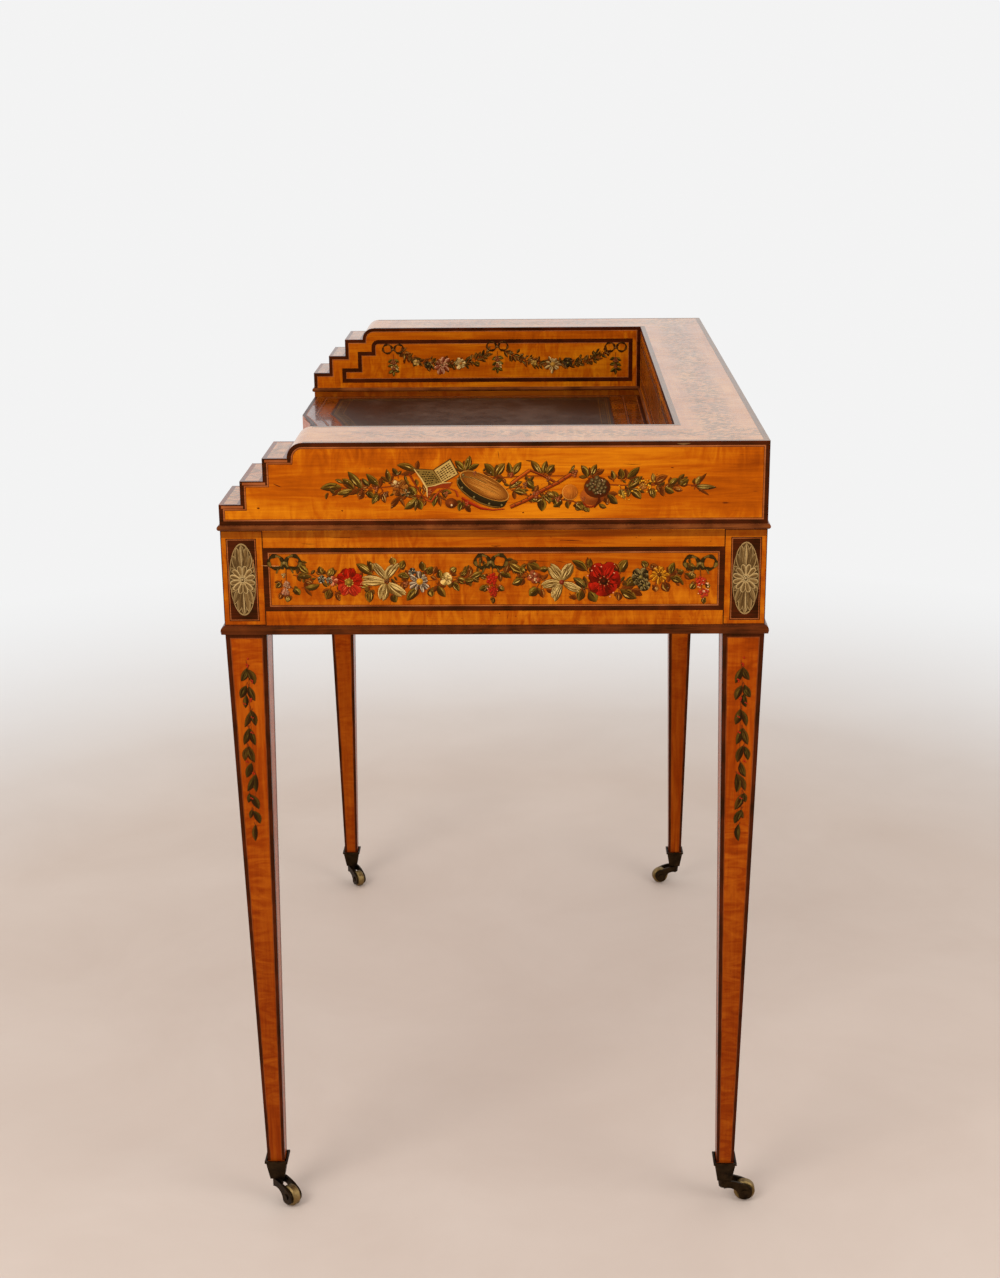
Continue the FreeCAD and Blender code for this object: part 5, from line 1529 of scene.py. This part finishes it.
def trophy(side, seed, mirror):
    """Spray of leaves to both sides of a small group: open book, tambourine, pipes and a basket of fruit."""
    p = painted(side + "_gallery_trophy", END[side], seed, mirror)
    w, r, at, line = p.w, p.r, p.at, p.line
    for points in (line((-60, 836), (-90, 841), (-120, 838), (-150, 838), (-168, 838)),
                   line((96, 842), (130, 840), (165, 840), (200, 840), (214, 839)),
                   line((-60, 826), (-80, 832), (-100, 838)),
                   line((-20, 850), (4, 848), (30, 850), (54, 850), (84, 850)),
                   line((20, 836), (40, 828), (66, 826), (90, 822), (112, 828))):
        p.stem(points, 0.8, (100, 36, 10))
        p.undergrowth(points, 24, 4.2)
    p.leaves(TROPHY_LEAVES)
    w.level = FLOWER_LEVEL
    for draw in (pipes, open_book, tambourine, fruit):
        draw(p)
    # Flowers and small fruit
    p.petals(at(-94, 838), 9, 6, (118, 64, 20), (158, 108, 48), (58, 28, 8), 0.44, vary=0.16)
    p.blossoms(at(-98, 842), 5, (120, 70, 30), (190, 170, 120), 7)
    w.dome(at(-98.2, 844.3), 2.0, (206, 192, 150), height=0.72)
    p.petals(at(-88, 833), 5, 5, (44, 40, 26), (176, 164, 130), (22, 18, 10), 0.34, vary=0.2)
    w.dome(at(-41.9, 822.3), 6.2, (78, 30, 10), (140, 76, 36), 0.6, 0.2, 14, 0.86)
    w.dome(at(-41.5, 820.3), 1.1, (226, 206, 180), height=0.8, sides=8)
    for u, v, reach, colour in (
            (-118, 837, 4, (94, 30, 10)), (-108, 832, 3.4, (70, 30, 12)), (-64, 834, 4, (112, 34, 12)),
            (18.9, 851, 3, (128, 20, 8)), (-18, 853, 2.6, (110, 34, 12)), (56, 847, 3.2, (104, 40, 14)),
            (44, 831, 4.6, (120, 40, 16)), (33, 841, 3.6, (108, 50, 20)), (66, 826, 3.6, (120, 36, 14)),
            (-26, 822, 3, (132, 24, 10)), (-47, 832, 3, (120, 44, 16)), (92, 826, 3, (104, 36, 12))):
        p.blossoms(at(u, v), reach, colour, (180, 120, 70), 4)
    for i in range(34):
        u = r.choice((r.uniform(128, 142), r.uniform(146, 166)))
        v = (828 if u < 143 else 841) + r.gauss(0, 4.5)
        w.dome(at(u, v), r.uniform(0.6, 1.2), p.jitter((190, 134, 20)), (226, 190, 70), 0.66, sides=6)
    p.blossoms(at(152, 839), 4.2, (150, 92, 20), (214, 170, 50), 6)
    w.done()


def arm_garland(side, seed):
    """Two smaller festoons in the stepped panel of an arm's inner face, with a pendant under each bow."""
    p = painted(side + "_arm_garland", ARM[side], seed)
    r = p.r
    bows = ((-164, 854.6), (-15, 858), (154, 855.6))
    shares = [i / 24 for i in range(25)]
    for (u0, v0), (u1, v1) in zip(bows, bows[1:]):
        points = [(u0 + 10 + (u1 - u0 - 20) * t, 833 + 19 * abs(2 * t - 1) ** 2.6) for t in shares]
        p.stem(points, 0.5, (96, 40, 12))
        p.undergrowth(points, 56, 4.2)
        rows = []
        for a, b in zip(points, points[1:]):
            for turn in (1, -1):
                way = heading(a, b) + turn * r.uniform(0.35, 1.15)
                reach = r.uniform(8, 11.5)
                foot = (a[0] + r.uniform(-2, 2), a[1] + r.uniform(-1, 1))
                breadth, kind = reach * r.uniform(0.34, 0.44), r.choice((5, 5, 5, 1, 4))
                rows.append(foot + polar(foot, way, reach) + (breadth, kind))
        p.leaves(rows, around=0.3, glints=0.3)
    p.w.level = FLOWER_LEVEL
    for u, v in bows:
        p.pendant((u, v - 7), 30, (104, 40, 12), (150, 92, 40))
    for u, v, size in ((-162, 829, 5.4), (-13.5, 832, 5.2), (-67.4, 834, 8.4)):
        p.petals((u, v), size, 6, (176, 156, 108), (226, 214, 176), (84, 58, 24), 0.34, vary=0.16, streaks=3)
        p.w.dome((u, v), size * 0.24, (150, 96, 30), height=0.56)
    p.bud((-131.7, 836), 5, (176, 150, 90))
    p.dark_rose((-114.6, 833), 5.6, (74, 66, 54))
    p.petals((-94.5, 832), 12, 9, (140, 80, 62), (206, 166, 152), (92, 28, 12), 0.25, vary=0.2, streaks=3)
    p.petals((-93.5, 832), 6.4, 5, (178, 132, 112), (232, 214, 202), (104, 44, 26), 0.26, vary=0.2)
    p.bud((37, 835), 4.2, (176, 140, 44))
    p.daisy((64.3, 832), 11.4, 12, (160, 140, 100), (166, 132, 70), (222, 208, 170), (80, 56, 28))
    p.dark_rose((85.7, 834), 7.4, (74, 66, 54))
    for place in bows:
        p.bow(place, 8.0, False, 0.19, INNER_RIBBON)
    p.w.done()


def wear(side, mirror):
    """Old scratches, specks and hair cracks on an end, and a chip in one edge of the top."""
    p = painted(side + "_end_wear", END[side], 90 + mirror, mirror)
    w, r = p.w, p.r
    for u0, v0, u1, v1, wide in SCRATCHES:
        a, b = p.line((u0, v0), (u1, v1))
        middle = ((a[0] + b[0]) / 2, (a[1] + b[1]) / 2 + r.uniform(-0.5, 0.5))
        w.stroke([a, middle, b], [wide * 0.3, wide, wide * 0.2], (78, 24, 5), height=0.06, crown=0.02)
    for i in range(26):
        u, v = r.uniform(-225, 225), r.choice((r.uniform(812, 874), r.uniform(700, 706), r.uniform(778, 790)))
        w.dome((u, v), r.uniform(0.25, 0.6), (92, 34, 8), (92, 34, 8), 0.05, 0.02, 6)
    for crack in (((-238, 757.5), (-224, 757), (-214, 756.6)), ((-246, 764), (-247, 757), (-246, 750))):
        w.stroke(p.line(*crack), [0.12, 0.25, 0.1], (206, 160, 120), height=0.3, crown=0.02)
    chip = p.line((186, 882.6), (192, 882), (199, 882.8))
    w.stroke(chip, [0.3, 1.2, 0.3], (110, 86, 64), (96, 74, 54), height=0.2, crown=0.04)
    w.done()


# The desk put together

add_camera()
floor()

for side in ("right", "left"):
    end_bands(side)
    arm_inner_bands(side)
top_bands()
writing_bands()
leg_bands()
front_bands()
for name, ends in DRAWERS.items():
    frieze_drawer(name, *ends)
gallery_bands()
back_bands()

paterae()
for draw, seed in ((frieze_garland, 21), (trophy, 31)):
    draw("right", seed, 1)
    draw("left", seed + 1, -1)
arm_garland("left", 51)
arm_garland("right", 52)
wear("right", 1)
wear("left", -1)
seed = 60
for side in (-1, 1):
    for end in (-1, 1):
        # The front legs are painted on their fronts too
        for nx, ny in ((side, 0), (0, -1))[:1 if end > 0 else 2]:
            husks(side, end, nx, ny, seed)
            seed += 1

world = bpy.data.worlds.new("surround")
world.use_nodes = True
world.node_tree.nodes["Background"].inputs[0].default_value = SURROUND
world.node_tree.nodes["Background"].inputs[1].default_value = SURROUND_STRENGTH
bpy.context.scene.world = world
area_light("key", (2.3, -1.6, 2.3), (0.3, 0, 0.7), 1.6, 39)
area_light("fill", (1.4, 2.2, 1.7), (0, 0, 0.6), 1.8, 19)
bpy.context.scene.view_settings.view_transform = "Standard"
